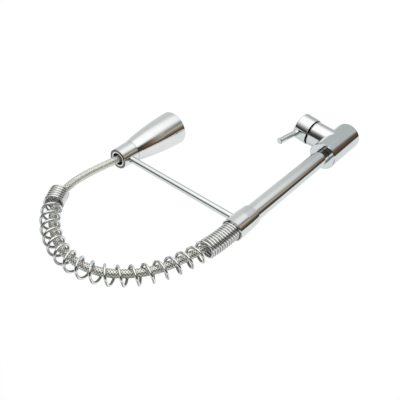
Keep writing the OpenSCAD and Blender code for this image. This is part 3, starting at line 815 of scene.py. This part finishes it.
@dataclass(frozen=True)
class SoftBox:
    """A large soft lamp over the faucet, for the parts that aren't polished.

    Attributes:
        place: where it hangs.
        aim: the point that it faces.
        size: its side.
        power: its power in watts.
    """

    place: Point = (-0.5, -0.9, 1.5)
    aim: Point = (0.08, 0.0, 0.25)
    size: float = 1.6
    power: float = 16.0

    def make(self) -> None:
        """Creates the lamp, hidden from reflections."""
        data = bpy.data.lights.new("soft_box", "AREA")
        data.shape = "SQUARE"
        data.size = self.size
        data.energy = self.power
        lamp = bpy.data.objects.new("soft_box", data)
        bpy.context.scene.collection.objects.link(lamp)
        ahead = Vector(self.aim) - Vector(self.place)
        turn = ahead.to_track_quat("-Z", "Y").to_matrix().to_4x4()
        lamp.matrix_world = Matrix.Translation(self.place) @ turn
        lamp.visible_glossy = False


# ---- finishes ----


@dataclass(frozen=True)
class Zone:
    """A round space on an axis, whose walls get painted shade.

    Attributes:
        start: a point on the axis.
        aim: the axis's direction.
        radius: how far the space reaches from the axis.
        low: where it starts along the axis, from the start point.
        high: where it ends.
        edge: the width over which it fades out at its borders.
    """

    start: Point
    aim: Point
    radius: float
    low: float
    high: float
    edge: float = 0.1 * MM

    def mask(self, graph: Graph) -> Socket:
        """Draws the space.

        Args:
            graph: the material's nodes.

        Returns:
            1 inside the space and 0 outside it.
        """
        spot = graph.node("VectorMath", operation="SUBTRACT")
        graph.join(graph.place(), spot.inputs[0])
        spot.inputs[1].default_value = self.start
        along = graph.node("VectorMath", operation="DOT_PRODUCT")
        graph.join(spot.outputs[0], along.inputs[0])
        along.inputs[1].default_value = self.aim
        far = graph.node("VectorMath", operation="LENGTH")
        graph.join(spot.outputs[0], far.inputs[0])
        near, size = along.outputs["Value"], far.outputs["Value"]
        out = graph.math("SQRT", graph.math(
            "SUBTRACT", graph.times(size, size), graph.times(near, near)))
        return graph.times(
            graph.smooth(out, self.radius - self.edge, self.radius, 1.0, 0.0),
            graph.smooth(near, self.low, self.low + self.edge),
            graph.smooth(near, self.high - self.edge, self.high, 1.0, 0.0))


@dataclass(frozen=True)
class Finish:
    """One surface finish, drawn by nodes.

    Attributes:
        name: the material's name.
        colour: its base colour.
        other: the colour that its variation goes towards.
        metal: 1 for metal.
        rough: roughness where it is clean.
        worn: roughness where it is smudged or worn.
        scale: how fine the smudges are.
        grain: how fine the bump's grain is.
        stretch: the grain's stretch along Z, below 1 for drawn metal.
        bump: the grain's height.
        zone: the space where painted shade darkens its colour.
        painted_shade: the colour of that painted shade, and on wound wire the
            colour of the painted shade on its side towards the coil's axis.
    """

    name: str
    colour: Colour
    other: Colour
    metal: float = 0.0
    rough: float = 0.4
    worn: float = 0.5
    scale: float = 60.0
    grain: float = 900.0
    stretch: float = 1.0
    bump: float = 0.01 * MM
    zone: Zone | None = None
    painted_shade: Colour = (0.03, 0.03, 0.028)

    def with_painted_shade(self, name: str, zone: Zone, painted_shade: Colour) -> "Finish":
        """The same finish under another name, with painted shade in a space."""
        return replace(self, name=name, zone=zone, painted_shade=painted_shade)

    def make(self) -> bpy.types.Material:
        """Gives the material, built at its first use.

        Returns:
            The material.
        """
        if self.name in bpy.data.materials:
            return bpy.data.materials[self.name]
        paint = bpy.data.materials.new(self.name)
        paint.use_nodes = True
        graph = Graph(paint.node_tree)
        shader = paint.node_tree.nodes["Principled BSDF"]
        shader.inputs["Metallic"].default_value = self.metal
        names = ("Base Color", "Roughness", "Normal")
        for name, drawn in zip(names, self.draw(graph)):
            graph.join(drawn, shader.inputs[name])
        return paint

    def smudges(self, graph: Graph) -> tuple[Socket, Socket]:
        """Draws where the surface is smudged.

        Args:
            graph: the material's nodes.

        Returns:
            The smudges' mask and the roughness.
        """
        mask = graph.effect(Group.SMUDGES, Scale=self.scale)["Mask"]
        return mask, graph.smooth(mask, 0.0, 1.0, self.rough, self.worn)

    def draw(self, graph: Graph) -> tuple[Socket, Socket, Socket]:
        """Draws the finish.

        Args:
            graph: the material's nodes.

        Returns:
            The colour, the roughness and the normal.
        """
        smudges, rough = self.smudges(graph)
        grain = graph.effect(Group.GRAIN, Scale=self.grain,
                             Stretch=self.stretch)["Mask"]
        colour = graph.mix(smudges, self.colour, self.other)
        # Painted shade darkens the colour inside the zone.
        if self.zone:
            colour = graph.mix(self.zone.mask(graph), colour, self.painted_shade)
        return colour, rough, graph.bump(grain, self.bump)


@dataclass(frozen=True)
class Braid(Finish):
    """A braid of bright wires over a dark hose.

    Attributes:
        bands: bands of wires in each of the two directions.
        pitch: length along the hose of one turn of a band.
        wires: wires in a band.
        gap: the colour between the bands.
        tight: length along the hose after which its bands lie close.
        easing: the length over which they close up.
        left: how much of the gaps is left where they lie close.
        duller: how much rougher the braid is where its gaps are gone.
    """

    bands: int = 8
    pitch: float = 27.2 * MM
    wires: float = 6.0
    gap: Colour = (0.13, 0.13, 0.11)
    tight: float = 375.0 * MM
    easing: float = 30.0 * MM
    left: float = 0.35
    duller: float = 0.2

    def draw(self, graph: Graph) -> tuple[Socket, Socket, Socket]:
        """Draws the braid.

        Args:
            graph: the material's nodes.

        Returns:
            The colour, the roughness and the normal.
        """
        weave = graph.effect(Group.BRAID, Bands=float(self.bands),
                             Pitch=self.pitch, Wires=self.wires)
        _, rough = self.smudges(graph)
        _, along = graph.unwrapped()
        loose = graph.smooth(along, self.tight, self.tight + self.easing,
                             1.0, self.left)
        band = graph.mix(weave["Tone"], self.colour, self.other)
        colour = graph.mix(graph.times(weave["Gap"], loose), band, self.gap)
        rough = graph.math("MULTIPLY_ADD", loose, -self.duller,
                           graph.plus(rough, self.duller))
        return colour, rough, graph.bump(weave["Wire"], self.bump)


@dataclass(frozen=True)
class WoundWire(Finish):
    """Polished wire, darker with painted shade and rougher on its side towards the
    coil's axis.

    The UV map holds turns round the wire, from the side towards the axis.

    Attributes:
        inward_side: where the painted shade and the rougher finish start, by the
            cosine of the turn.
        dull_rough: its roughness.
    """

    inward_side: Ramp = (0.1, 0.65)
    dull_rough: float = 0.42

    def draw(self, graph: Graph) -> tuple[Socket, Socket, Socket]:
        """Draws the polish, the painted shade and rougher finish on the inward
        side, and the drawing marks.

        Args:
            graph: the material's nodes.

        Returns:
            The colour, the roughness and the normal.
        """
        colour, rough, normal = super().draw(graph)
        around, _ = graph.unwrapped()
        facing = graph.math("COSINE", graph.times(around, math.tau))
        # The side towards the coil's axis gets painted shade in its colour, and a
        # higher roughness.
        shade_and_dull = graph.smooth(facing, *self.inward_side)
        return (graph.mix(shade_and_dull, colour, self.painted_shade),
                graph.pick(shade_and_dull, rough, self.dull_rough), normal)


CHROME = Finish("polished_chrome", (0.872, 0.882, 0.888), (0.84, 0.85, 0.857),
                metal=1.0, rough=0.04, worn=0.09, scale=45.0, grain=300.0,
                bump=0.0015 * MM)
# A dark metal finish that stands in for the shade in the gap: painted shade on the
# lever's stem.
PAINTED_SHADE_METAL = Finish("metal_in_painted_shade", (0.10, 0.10, 0.095), (0.06, 0.06, 0.055),
                     metal=1.0, rough=0.30, worn=0.45)
# The wire's colour on its side towards the coil's axis is painted shade.
SPRING_STEEL = WoundWire("spring_steel_painted_shade", (0.94, 0.94, 0.93), (0.88, 0.88, 0.87),
                         metal=1.0, rough=0.05, worn=0.11, scale=90.0,
                         grain=1200.0, bump=0.002 * MM, painted_shade=(0.38, 0.38, 0.37))
BRASS = Finish("turned_brass", (0.80, 0.62, 0.32), (0.68, 0.50, 0.26),
               metal=1.0, rough=0.22, worn=0.36)
STEEL = Finish("bright_steel", (0.72, 0.72, 0.71), (0.62, 0.62, 0.61),
               metal=1.0, rough=0.22, worn=0.34)
RUBBER = Finish("black_rubber", (0.03, 0.03, 0.03), (0.05, 0.05, 0.05),
                rough=0.62, worn=0.8)
WHITE = Finish("white_acetal", (0.84, 0.84, 0.81), (0.78, 0.78, 0.75),
               rough=0.38, worn=0.5)
LINER = Finish("liner_gloss_painted_shade", (0.86, 0.87, 0.87), (0.80, 0.81, 0.81),
               rough=0.26, worn=0.4)
GREY = Finish("grey_shell", (0.15, 0.155, 0.16), (0.19, 0.195, 0.2),
              rough=0.36, worn=0.5)
SILICONE = Finish("pale_silicone", (0.42, 0.43, 0.44), (0.36, 0.37, 0.38),
                  rough=0.5, worn=0.62)
CERAMIC = Finish("white_ceramic", (0.88, 0.87, 0.83), (0.84, 0.83, 0.79),
                 rough=0.14, worn=0.24)
BRAID = Braid("steel_braid", (0.972, 0.966, 0.912), (0.862, 0.856, 0.792),
              metal=0.92, rough=0.30, worn=0.40, scale=120.0, bump=0.04 * MM)


# ---- pieces of the CAD model ----


class SubAssembly:
    """Pieces that belong together, most of them nodes of the CAD model."""

    def finishes(self) -> dict[str, Finish]:
        """The finish of each of its CAD nodes, by the node's name."""
        return {}

    def dress(self) -> None:
        """Gives each of its CAD nodes its finish."""
        for name, finish in self.finishes().items():
            self.coat(frame["nodes"][name], finish)

    @staticmethod
    def coat(piece: bpy.types.Object, finish: Finish) -> None:
        """Gives every face of a piece one finish and reports the piece.

        Args:
            piece: the piece's object.
            finish: the finish.
        """
        piece.data.materials.clear()
        piece.data.materials.append(finish.make())
        LOG.info("%s in %s", piece.name, finish.name)


class Body(SubAssembly):
    """The standing valve body on its deck seal, with the swivel's screw."""

    def finishes(self) -> dict[str, Finish]:
        """The finish of each of its CAD nodes, by the node's name."""
        return {"valve_body": CHROME, "base_seal": RUBBER,
                "retaining_screw": STEEL}


class Cartridge(SubAssembly):
    """The ceramic disc cartridge in the housing on the body's side."""

    def finishes(self) -> dict[str, Finish]:
        """The finish of each of its CAD nodes, by the node's name."""
        return {"cartridge_body": WHITE, "cartridge_carrier": WHITE,
                "cartridge_seal": RUBBER, "cartridge_nut": BRASS,
                "disc_fixed": CERAMIC, "disc_moving": CERAMIC,
                "pivot_pin": STEEL}


@dataclass(frozen=True)
class Lever(SubAssembly):
    """The lever with its cap and pin, and the dome cover under the cap.

    Attributes:
        height: height of the housing's axis above the deck.
        turn: the housing's turn about the riser, from +X towards +Y.
        tilt: how far the cap leans below the housing's axis at rest.
        pivot: distance from the riser's axis to the lever's pivot.
        hollow: the cap's hollow, its radius and where it starts and ends.
        face: the dome's face under the cap, in the same way.
        shade: the colour of the painted shade on both, in the gap between cap and
            housing.
    """

    height: float = 39.0 * MM
    turn: float = math.radians(-5.0)
    tilt: float = math.radians(4.2)
    pivot: float = 35.0 * MM
    hollow: tuple[float, ...] = (21.7 * MM, 8.5 * MM, 30.5 * MM)
    face: tuple[float, ...] = (19.2 * MM, 30.0 * MM, 60.0 * MM)
    shade: Colour = (0.06, 0.06, 0.057)

    def axis(self, lean: float) -> Point:
        """The housing's axis, or one that leans below it."""
        return (math.cos(lean) * math.cos(self.turn),
                math.cos(lean) * math.sin(self.turn), -math.sin(lean))

    def centre(self, out: float) -> Point:
        """A point on the housing's axis, at a distance from the riser's axis."""
        return (out * math.cos(self.turn), out * math.sin(self.turn), self.height)

    def finishes(self) -> dict[str, Finish]:
        """The finish of each of its CAD nodes, by the node's name.

        Returns:
            The finishes, with painted shade on the cap and the dome in the gap.
        """
        # Painted shade darkens the cap's hollow and the dome's face in the gap
        # between cap and housing.
        hollow = Zone(self.centre(self.pivot), self.axis(self.tilt), *self.hollow)
        face = Zone(self.centre(0.0), self.axis(0.0), *self.face)
        # The lever's stem gets the dark metal finish, painted shade for the gap it
        # sits in.
        return {"lever_cap": CHROME.with_painted_shade("cap_chrome_painted_shade", hollow, self.shade),
                "dome_cover": CHROME.with_painted_shade("dome_chrome_painted_shade", face, self.shade),
                "pin_handle": CHROME, "lever_stem": PAINTED_SHADE_METAL}


@dataclass(frozen=True)
class Riser(SubAssembly):
    """The swivelling riser tube, from its spigot to the collar at its top.

    Attributes:
        joint: the tube's joint with the body, ringed with painted shade for the gap
            there.
        joint_shade: the colour of that painted shade.
        cup: the inside of the collar's cup, with painted shade for the spring's
            shade.
        cup_shade: the colour of that painted shade.
    """

    joint: Zone = Zone(FOOT, UP, 20.0 * MM, 79.0 * MM, 82.9 * MM)
    joint_shade: Colour = (0.07, 0.07, 0.07)
    cup: Zone = Zone(FOOT, UP, 14.6 * MM, 294.0 * MM, 329.0 * MM)
    cup_shade: Colour = (0.08, 0.08, 0.076)

    def finishes(self) -> dict[str, Finish]:
        """The finish of each of its CAD nodes, by the node's name.

        Returns:
            The finishes, with painted shade in the joint and in the cup.
        """
        # A ring of painted shade marks the gap at the tube's joint with the body.
        tube = CHROME.with_painted_shade("riser_chrome_painted_shade", self.joint, self.joint_shade)
        # Painted shade darkens the inside of the collar's cup, where the spring
        # shades it.
        collar = CHROME.with_painted_shade("collar_chrome_painted_shade", self.cup, self.cup_shade)
        return {"riser_tube": tube, "collar": collar, "spout_spigot": BRASS,
                "riser_fitting": BRASS, "spigot_oring_lower": RUBBER,
                "spigot_oring_upper": RUBBER, "swivel_washer": WHITE}


@dataclass(frozen=True)
class DockingArm(SubAssembly):
    """The arm from the collar to the sleeve that the spray head docks in.

    Attributes:
        dock: the centre of the sleeve's upper rim.
        rim: the rim round it, its radius and where it starts and ends.
        rim_dark_reflection: the colour of the painted dark reflection on the sleeve
            there.
        gate: the liner's inside, in the same way.
        gate_shade: the colour of the painted shade on the liner there.
    """

    dock: Point = (REACH, 0.0, DOCK_TOP)
    rim: tuple[float, ...] = (40.0 * MM, -0.3 * MM, 5.0 * MM)
    rim_dark_reflection: Colour = (0.20, 0.20, 0.19)
    gate: tuple[float, ...] = (9.9 * MM, -20.0 * MM, 5.0 * MM)
    gate_shade: Colour = (0.02, 0.02, 0.02)

    def finishes(self) -> dict[str, Finish]:
        """The finish of each of its CAD nodes, by the node's name.

        Returns:
            The finishes, with a painted dark reflection on the sleeve's rim and
            painted shade inside the liner.
        """
        rim = Zone(self.dock, UP, *self.rim)
        gate = Zone(self.dock, UP, *self.gate)
        # A painted dark reflection darkens the sleeve's rim.
        sleeve = CHROME.with_painted_shade("sleeve_chrome_painted_reflection", rim, self.rim_dark_reflection)
        # Painted shade darkens the liner's inside, a deep hole.
        liner = replace(LINER, zone=gate, painted_shade=self.gate_shade)
        return {"arm_rod": CHROME, "docking_sleeve": sleeve, "dock_liner": liner}


class SprayHead(SubAssembly):
    """The bell-shaped spray head with its water guide and spray face."""

    def finishes(self) -> dict[str, Finish]:
        """The finish of each of its CAD nodes, by the node's name."""
        return {"head_shell": CHROME, "head_connector": CHROME,
                "head_ferrule": STEEL, "aerator": STEEL, "head_washer": RUBBER,
                "guide_oring": RUBBER, "check_valve": WHITE,
                "inner_guide": WHITE, "spray_face": GREY,
                "nozzle_mat": SILICONE}


# ---- new pieces ----


@dataclass(frozen=True)
class Station:
    """A point on a bent line in the plane y = 0, with its heading.

    Attributes:
        x: distance from the riser's axis.
        z: height above the deck.
        heading: angle from +Z towards +X.
    """

    x: float
    z: float
    heading: float

    def spot(self, inward: float, across: float) -> Vector:
        """A point beside the line: inward to the bends' inside, across to +Y."""
        return Vector((self.x + inward * math.cos(self.heading), across,
                       self.z - inward * math.sin(self.heading)))

    def on(self, length: float, turn: float) -> "Station":
        """Goes on along a straight or an arc.

        Args:
            length: how far.
            turn: the arc's turn, or 0 for a straight.

        Returns:
            The station there.
        """
        if turn == 0:
            return Station(self.x + length * math.sin(self.heading),
                           self.z + length * math.cos(self.heading),
                           self.heading)
        radius, after = length / turn, self.heading + turn
        return Station(
            self.x + radius * (math.cos(self.heading) - math.cos(after)),
            self.z + radius * (math.sin(after) - math.sin(self.heading)), after)


@dataclass(frozen=True)
class Arch:
    """The spring's centre line: straight, four bends and a straight tail.

    Attributes:
        foot: the height where it starts.
        runs: each run's radius and its turn in degrees, or a straight run's
            length and 0.
    """

    foot: float = 302.2 * MM
    runs: tuple[tuple[float, float], ...] = (
        (22.0 * MM, 0.0), (303.0 * MM, 17.0), (121.0 * MM, 32.2),
        (88.0 * MM, 59.3), (135.5 * MM, 41.5), (12.0 * MM, 0.0))

    def legs(self) -> list[tuple[float, float]]:
        """Each run's length and its turn in radians."""
        turned = [(size, math.radians(degrees)) for size, degrees in self.runs]
        return [(size * (turn or 1.0), turn) for size, turn in turned]

    def length(self) -> float:
        """The whole line's length."""
        return sum(length for length, _ in self.legs())

    def at(self, distance: float) -> Station:
        """Finds a place along the line.

        Args:
            distance: how far along it, which may be past its end.

        Returns:
            The station there.
        """
        station = Station(0.0, self.foot, 0.0)
        *legs, last = self.legs()
        for length, turn in legs:
            if distance <= length:
                return station.on(distance, turn * distance / length)
            station = station.on(length, turn)
            distance -= length
        return station.on(distance, last[1] * distance / last[0])


@dataclass
class Row:
    """One row of a tube's faces.

    Attributes:
        faces: its faces.
        rim: the points of its far ring.
        frame: the far ring's frame.
        low: length along the tube where it starts.
        high: length along the tube where it ends.
    """

    faces: list[bmesh.types.BMFace]
    rim: list[bmesh.types.BMVert]
    frame: Matrix
    low: float
    high: float


@dataclass
class Tube:
    """A round tube drawn along a line.

    Attributes:
        name: the piece's name.
        path: the points that it follows.
        radius: half its thickness.
        sides: how many faces go round it.
        relief: gives how deep the surface lies, from turns round the tube
            and metres along it.
        facing: for each point, the way that the turns round it start from.
    """

    name: str
    path: list[Vector]
    radius: float
    sides: int = 16
    relief: Callable[[float, float], float] | None = None
    facing: list[Vector] | None = None

    def frames(self) -> list[Matrix]:
        """Works out how the tube's rings lie, without any jump in twist.

        Returns:
            A turned and placed frame for each point of the path.
        """
        made, last = [], Vector((0, 1, 0))
        for index, point in enumerate(self.path):
            before = self.path[max(index - 1, 0)]
            after = self.path[min(index + 1, len(self.path) - 1)]
            ahead = (after - before).normalized()
            if self.facing:
                last = self.facing[index]
            first = (last - ahead * last.dot(ahead)).normalized()
            second = ahead.cross(first)
            turn = Matrix((first, second, ahead)).transposed().to_4x4()
            made.append(Matrix.Translation(point) @ turn)
            last = first
        return made

    def make(self) -> bpy.types.Object:
        """Builds the tube by extruding a circle from frame to frame.

        Returns:
            The tube's object, closed at both ends, with lengths in its UV map.
        """
        shape = bmesh.new()
        layer = shape.loops.layers.uv.new(UV_MAP)
        start = list(bmesh.ops.create_circle(shape, radius=self.radius,
                                             segments=self.sides)["verts"])
        frames = self.frames()
        bmesh.ops.transform(shape, matrix=frames[0], verts=start)
        rows = self.extrude(shape, frames)
        for row in rows:
            self.unwrap(row, layer)
        if self.relief:
            self.carve(start, frames[0], 0.0)
            for row in rows:
                self.carve(row.rim, row.frame, row.high)
        for rim in (start, rows[-1].rim):
            bmesh.ops.contextual_create(shape, geom=rim)
        bmesh.ops.recalc_face_normals(shape, faces=shape.faces[:])
        return link_mesh(self.name, shape, smooth=True)

    def extrude(self, shape: bmesh.types.BMesh, frames: list[Matrix]) -> list[Row]:
        """Draws the first ring out along the path.

        Args:
            shape: the bmesh, with nothing but the first ring in it.
            frames: how each ring lies.

        Returns:
            The tube's rows.
        """
        rows, distance, edges = [], 0.0, shape.edges[:]
        for index, target in enumerate(frames[1:]):
            grown = bmesh.ops.extrude_edge_only(shape, edges=edges)["geom"]
            rim = [part for part in grown if isinstance(part, bmesh.types.BMVert)]
            faces = [part for part in grown if isinstance(part, bmesh.types.BMFace)]
            ring = set(rim)
            edges = [part for part in grown if isinstance(part, bmesh.types.BMEdge)
                     and ring.issuperset(part.verts)]
            bmesh.ops.transform(shape, matrix=target @ frames[index].inverted(),
                                verts=rim)
            step = (self.path[index + 1] - self.path[index]).length
            rows.append(Row(faces, rim, target, distance, distance + step))
            distance += step
        return rows

    @staticmethod
    def turns(vert: bmesh.types.BMVert, back: Matrix) -> float:
        """The turns round the tube at a point, from 0 to 1."""
        flat = back @ vert.co
        return math.atan2(flat.y, flat.x) / math.tau % 1.0

    def carve(self, rim: Iterable[bmesh.types.BMVert], target: Matrix,
              along: float) -> None:
        """Sinks one ring of the tube by the relief.

        Args:
            rim: the ring's points.
            target: the ring's frame.
            along: its length along the tube.
        """
        back = target.inverted()
        for vert in rim:
            depth = self.relief(self.turns(vert, back), along)
            vert.co = target @ (back @ vert.co * (1.0 - depth / self.radius))

    def unwrap(self, row: Row, layer: bmesh.types.BMLayerItem) -> None:
        """Writes a row into the UV map, round in turns and along in metres.

        Args:
            row: the row of faces.
            layer: the UV map.
        """
        back = row.frame.inverted()
        far = set(row.rim)
        for face in row.faces:
            spots = [self.turns(loop.vert, back) for loop in face.loops]
            # Only a face on the map's own seam spans more than half a turn.
            on_seam = max(spots) - min(spots) > 0.5
            for loop, around in zip(face.loops, spots):
                turn = around + 1.0 if on_seam and around < 0.5 else around
                loop[layer].uv = (turn, row.high if loop.vert in far else row.low)


@dataclass(frozen=True)
class Spring(SubAssembly):
    """The wound spring: close turns, open turns, close turns.

    Attributes:
        arch: its centre line.
        wire: the wire's thickness.
        outside: the coil's diameter outside.
        close_turns: close turns at its foot.
        open_turns: open turns over the arch.
        tail_turns: close turns at its free end.
        close_pitch: the pitch at its foot.
        tail_pitch: the pitch at its free end.
        phase: where round the coil the wire starts, in degrees.
        steps: points to a turn.
        sides: faces round the wire.
    """

    arch: Arch = Arch()
    wire: float = 3.6 * MM
    outside: float = 27.0 * MM
    close_turns: float = 14.5
    open_turns: float = 18.0
    tail_turns: float = 5.5
    close_pitch: float = 4.25 * MM
    tail_pitch: float = 4.45 * MM
    phase: float = 45.0
    steps: int = 28
    sides: int = 14

    def wound(self, turns: float) -> float:
        """Finds how far along the arch the wire has come.

        Args:
            turns: the turns since its foot.

        Returns:
            The distance along the arch.
        """
        tail = self.arch.length() - self.tail_turns * self.tail_pitch
        first = self.close_turns * self.close_pitch
        if turns < self.close_turns:
            return turns * self.close_pitch
        if turns < self.close_turns + self.open_turns:
            return first + ((turns - self.close_turns) / self.open_turns
                            * (tail - first))
        return tail + ((turns - self.close_turns - self.open_turns)
                       * self.tail_pitch)

    def path(self) -> tuple[list[Vector], list[Vector]]:
        """Winds the wire's centre line.

        Returns:
            Its points, and at each of them the way to the coil's axis.
        """
        total = self.close_turns + self.open_turns + self.tail_turns
        radius = (self.outside - self.wire) / 2
        points, inwards = [], []
        for step in range(int(total * self.steps) + 1):
            turns = step / self.steps
            angle = math.radians(self.phase) + math.tau * turns
            station = self.arch.at(self.wound(turns))
            points.append(station.spot(radius * math.cos(angle),
                                       radius * math.sin(angle)))
            inwards.append((station.spot(0.0, 0.0) - points[-1]).normalized())
        return points, inwards

    def build(self) -> None:
        """Builds the spring and puts it in the plain one's place."""
        points, inwards = self.path()
        made = Tube("spring_coil", points, self.wire / 2, self.sides,
                    facing=inwards).make()
        self.coat(made, SPRING_STEEL)
        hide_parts("spring")
        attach(made, "spout")


@dataclass(frozen=True)
class Hose(SubAssembly):
    """The braided hose from the riser's top to the spray head.

    Attributes:
        arch: the spring's centre line.
        outside: its diameter.
        start: the height where it starts in the riser.
        lead: its straight length there.
        free: distance along the arch where it leaves the coil's centre.
        side: how far it lies towards the inside of the bends.
        ramp: the distance over which it gets there.
        stop: the height where it ends in the spray head.
        mouth: its place over the dock's centre, out and up.
        straight: how deep in the dock the points of its straight end lie.
        bow: its bare bend's points, each with its share of the height from the
            dock to the spring's end, and its distance beyond the dock's axis.
        arch_knots: how many points it has inside the spring.
        parts: how many parts there are between two points.
        crown: how deep the seams between the braid's bands lie.
        per_band: faces across a band of the braid, round and along the hose.
    """

    arch: Arch = Arch()
    outside: float = 11.0 * MM
    start: float = 306.0 * MM
    lead: float = 6.0 * MM
    free: float = 18.0 * MM
    side: float = 3.3 * MM
    ramp: float = 52.0 * MM
    stop: float = 285.2 * MM
    mouth: tuple[float, float] = (0.3 * MM, 1.0 * MM)
    straight: tuple[float, ...] = (6.0 * MM, 14.0 * MM)
    bow: tuple[tuple[float, float], ...] = (
        (0.88, 1.2 * MM), (0.8, 2.9 * MM), (0.72, 4.3 * MM), (0.61, 4.8 * MM),
        (0.5, 4.7 * MM), (0.38, 4.0 * MM), (0.26, 2.8 * MM), (0.13, 1.4 * MM))
    arch_knots: int = 28
    parts: int = 16
    crown: float = 0.22 * MM
    per_band: int = 4

    def finishes(self) -> dict[str, Finish]:
        """The finish of each of its CAD nodes, by the node's name."""
        return {"hose_tail_nut": CHROME}

    def inside(self, distance: float) -> Vector:
        """The hose's centre inside the spring, at a distance along the arch."""
        share = max(0.0, min(1.0, (distance - self.free) / self.ramp))
        return self.arch.at(distance).spot(self.side * share, 0.0)

    def knots(self) -> list[Vector]:
        """Lists the points that the hose goes through.

        Returns:
            The points, from the riser to the spray head.
        """
        total = self.arch.length()
        spans = [self.free + step * (total - self.free) / self.arch_knots
                 for step in range(self.arch_knots)]
        leave = self.inside(total)
        fall = leave.z - DOCK_TOP
        bare = [(out, share * fall) for share, out in self.bow]
        docked = [(0.0, -depth) for depth in self.straight]
        docked.append((0.0, self.stop - DOCK_TOP))
        return [Vector((0, 0, self.start)), Vector((0, 0, self.start + self.lead)),
                *[self.inside(span) for span in spans], leave,
                *[Vector((REACH + out, 0, DOCK_TOP + high))
                  for out, high in (*bare, self.mouth, *docked)]]

    def line(self) -> list[Vector]:
        """Draws a smooth line through the knots, a Catmull-Rom curve.

        Returns:
            Its points.
        """
        knots = self.knots()
        line = []
        for index in range(len(knots) - 1):
            a, b = knots[max(index - 1, 0)], knots[index]
            c, d = knots[index + 1], knots[min(index + 2, len(knots) - 1)]
            for part in range(self.parts):
                t = part / self.parts
                line.append(0.5 * (2 * b + (c - a) * t
                                   + (2 * a - 5 * b + 4 * c - d) * t * t
                                   + (3 * b - a - 3 * c + d) * t ** 3))
        return line + [knots[-1]]

    def path(self) -> list[Vector]:
        """Divides the line into even steps, some to each band of the braid.

        Returns:
            The points between the steps.
        """
        line = self.line()
        step = BRAID.pitch / (self.per_band * BRAID.bands)
        points, spare = [line[0]], 0.0
        for before, after in zip(line, line[1:]):
            size = (after - before).length
            while spare + size >= step:
                share = (step - spare) / size
                before = before.lerp(after, share)
                points.append(before)
                size, spare = size * (1 - share), 0.0
            spare += size
        return points

    def depth(self, turn: float, along: float) -> float:
        """How deep the braid's surface lies, from the crowns of its bands.

        Args:
            turn: the turns round the hose.
            along: the length along it.

        Returns:
            The depth.
        """
        edges = [abs(2.0 * (BRAID.bands * (turn + way * along / BRAID.pitch)
                            % 1.0) - 1.0) for way in (1, -1)]
        return self.crown * (edges[0] ** 3 + edges[1] ** 3) / 2

    def build(self) -> None:
        """Builds the hose in place of the plain one."""
        made = Tube("braided_hose", self.path(), self.outside / 2,
                    self.per_band * BRAID.bands, self.depth).make()
        self.coat(made, BRAID)
        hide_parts("hose")
        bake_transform(made)


# ---- the whole ----


def main() -> None:
    """Builds the camera, the hose, the studio and the other pieces in order."""
    logging.basicConfig(level=logging.INFO)
    bpy.context.scene.view_settings.view_transform = "Standard"
    View().make()
    hose, spring = Hose(), Spring()
    hose.build()
    for setting in (Room(), Floor(), SoftBox()):
        setting.make()
    spring.build()
    for part in (Body(), Cartridge(), Lever(), Riser(), DockingArm(), hose,
                 SprayHead()):
        part.dress()


if __name__ == "__main__":
    main()
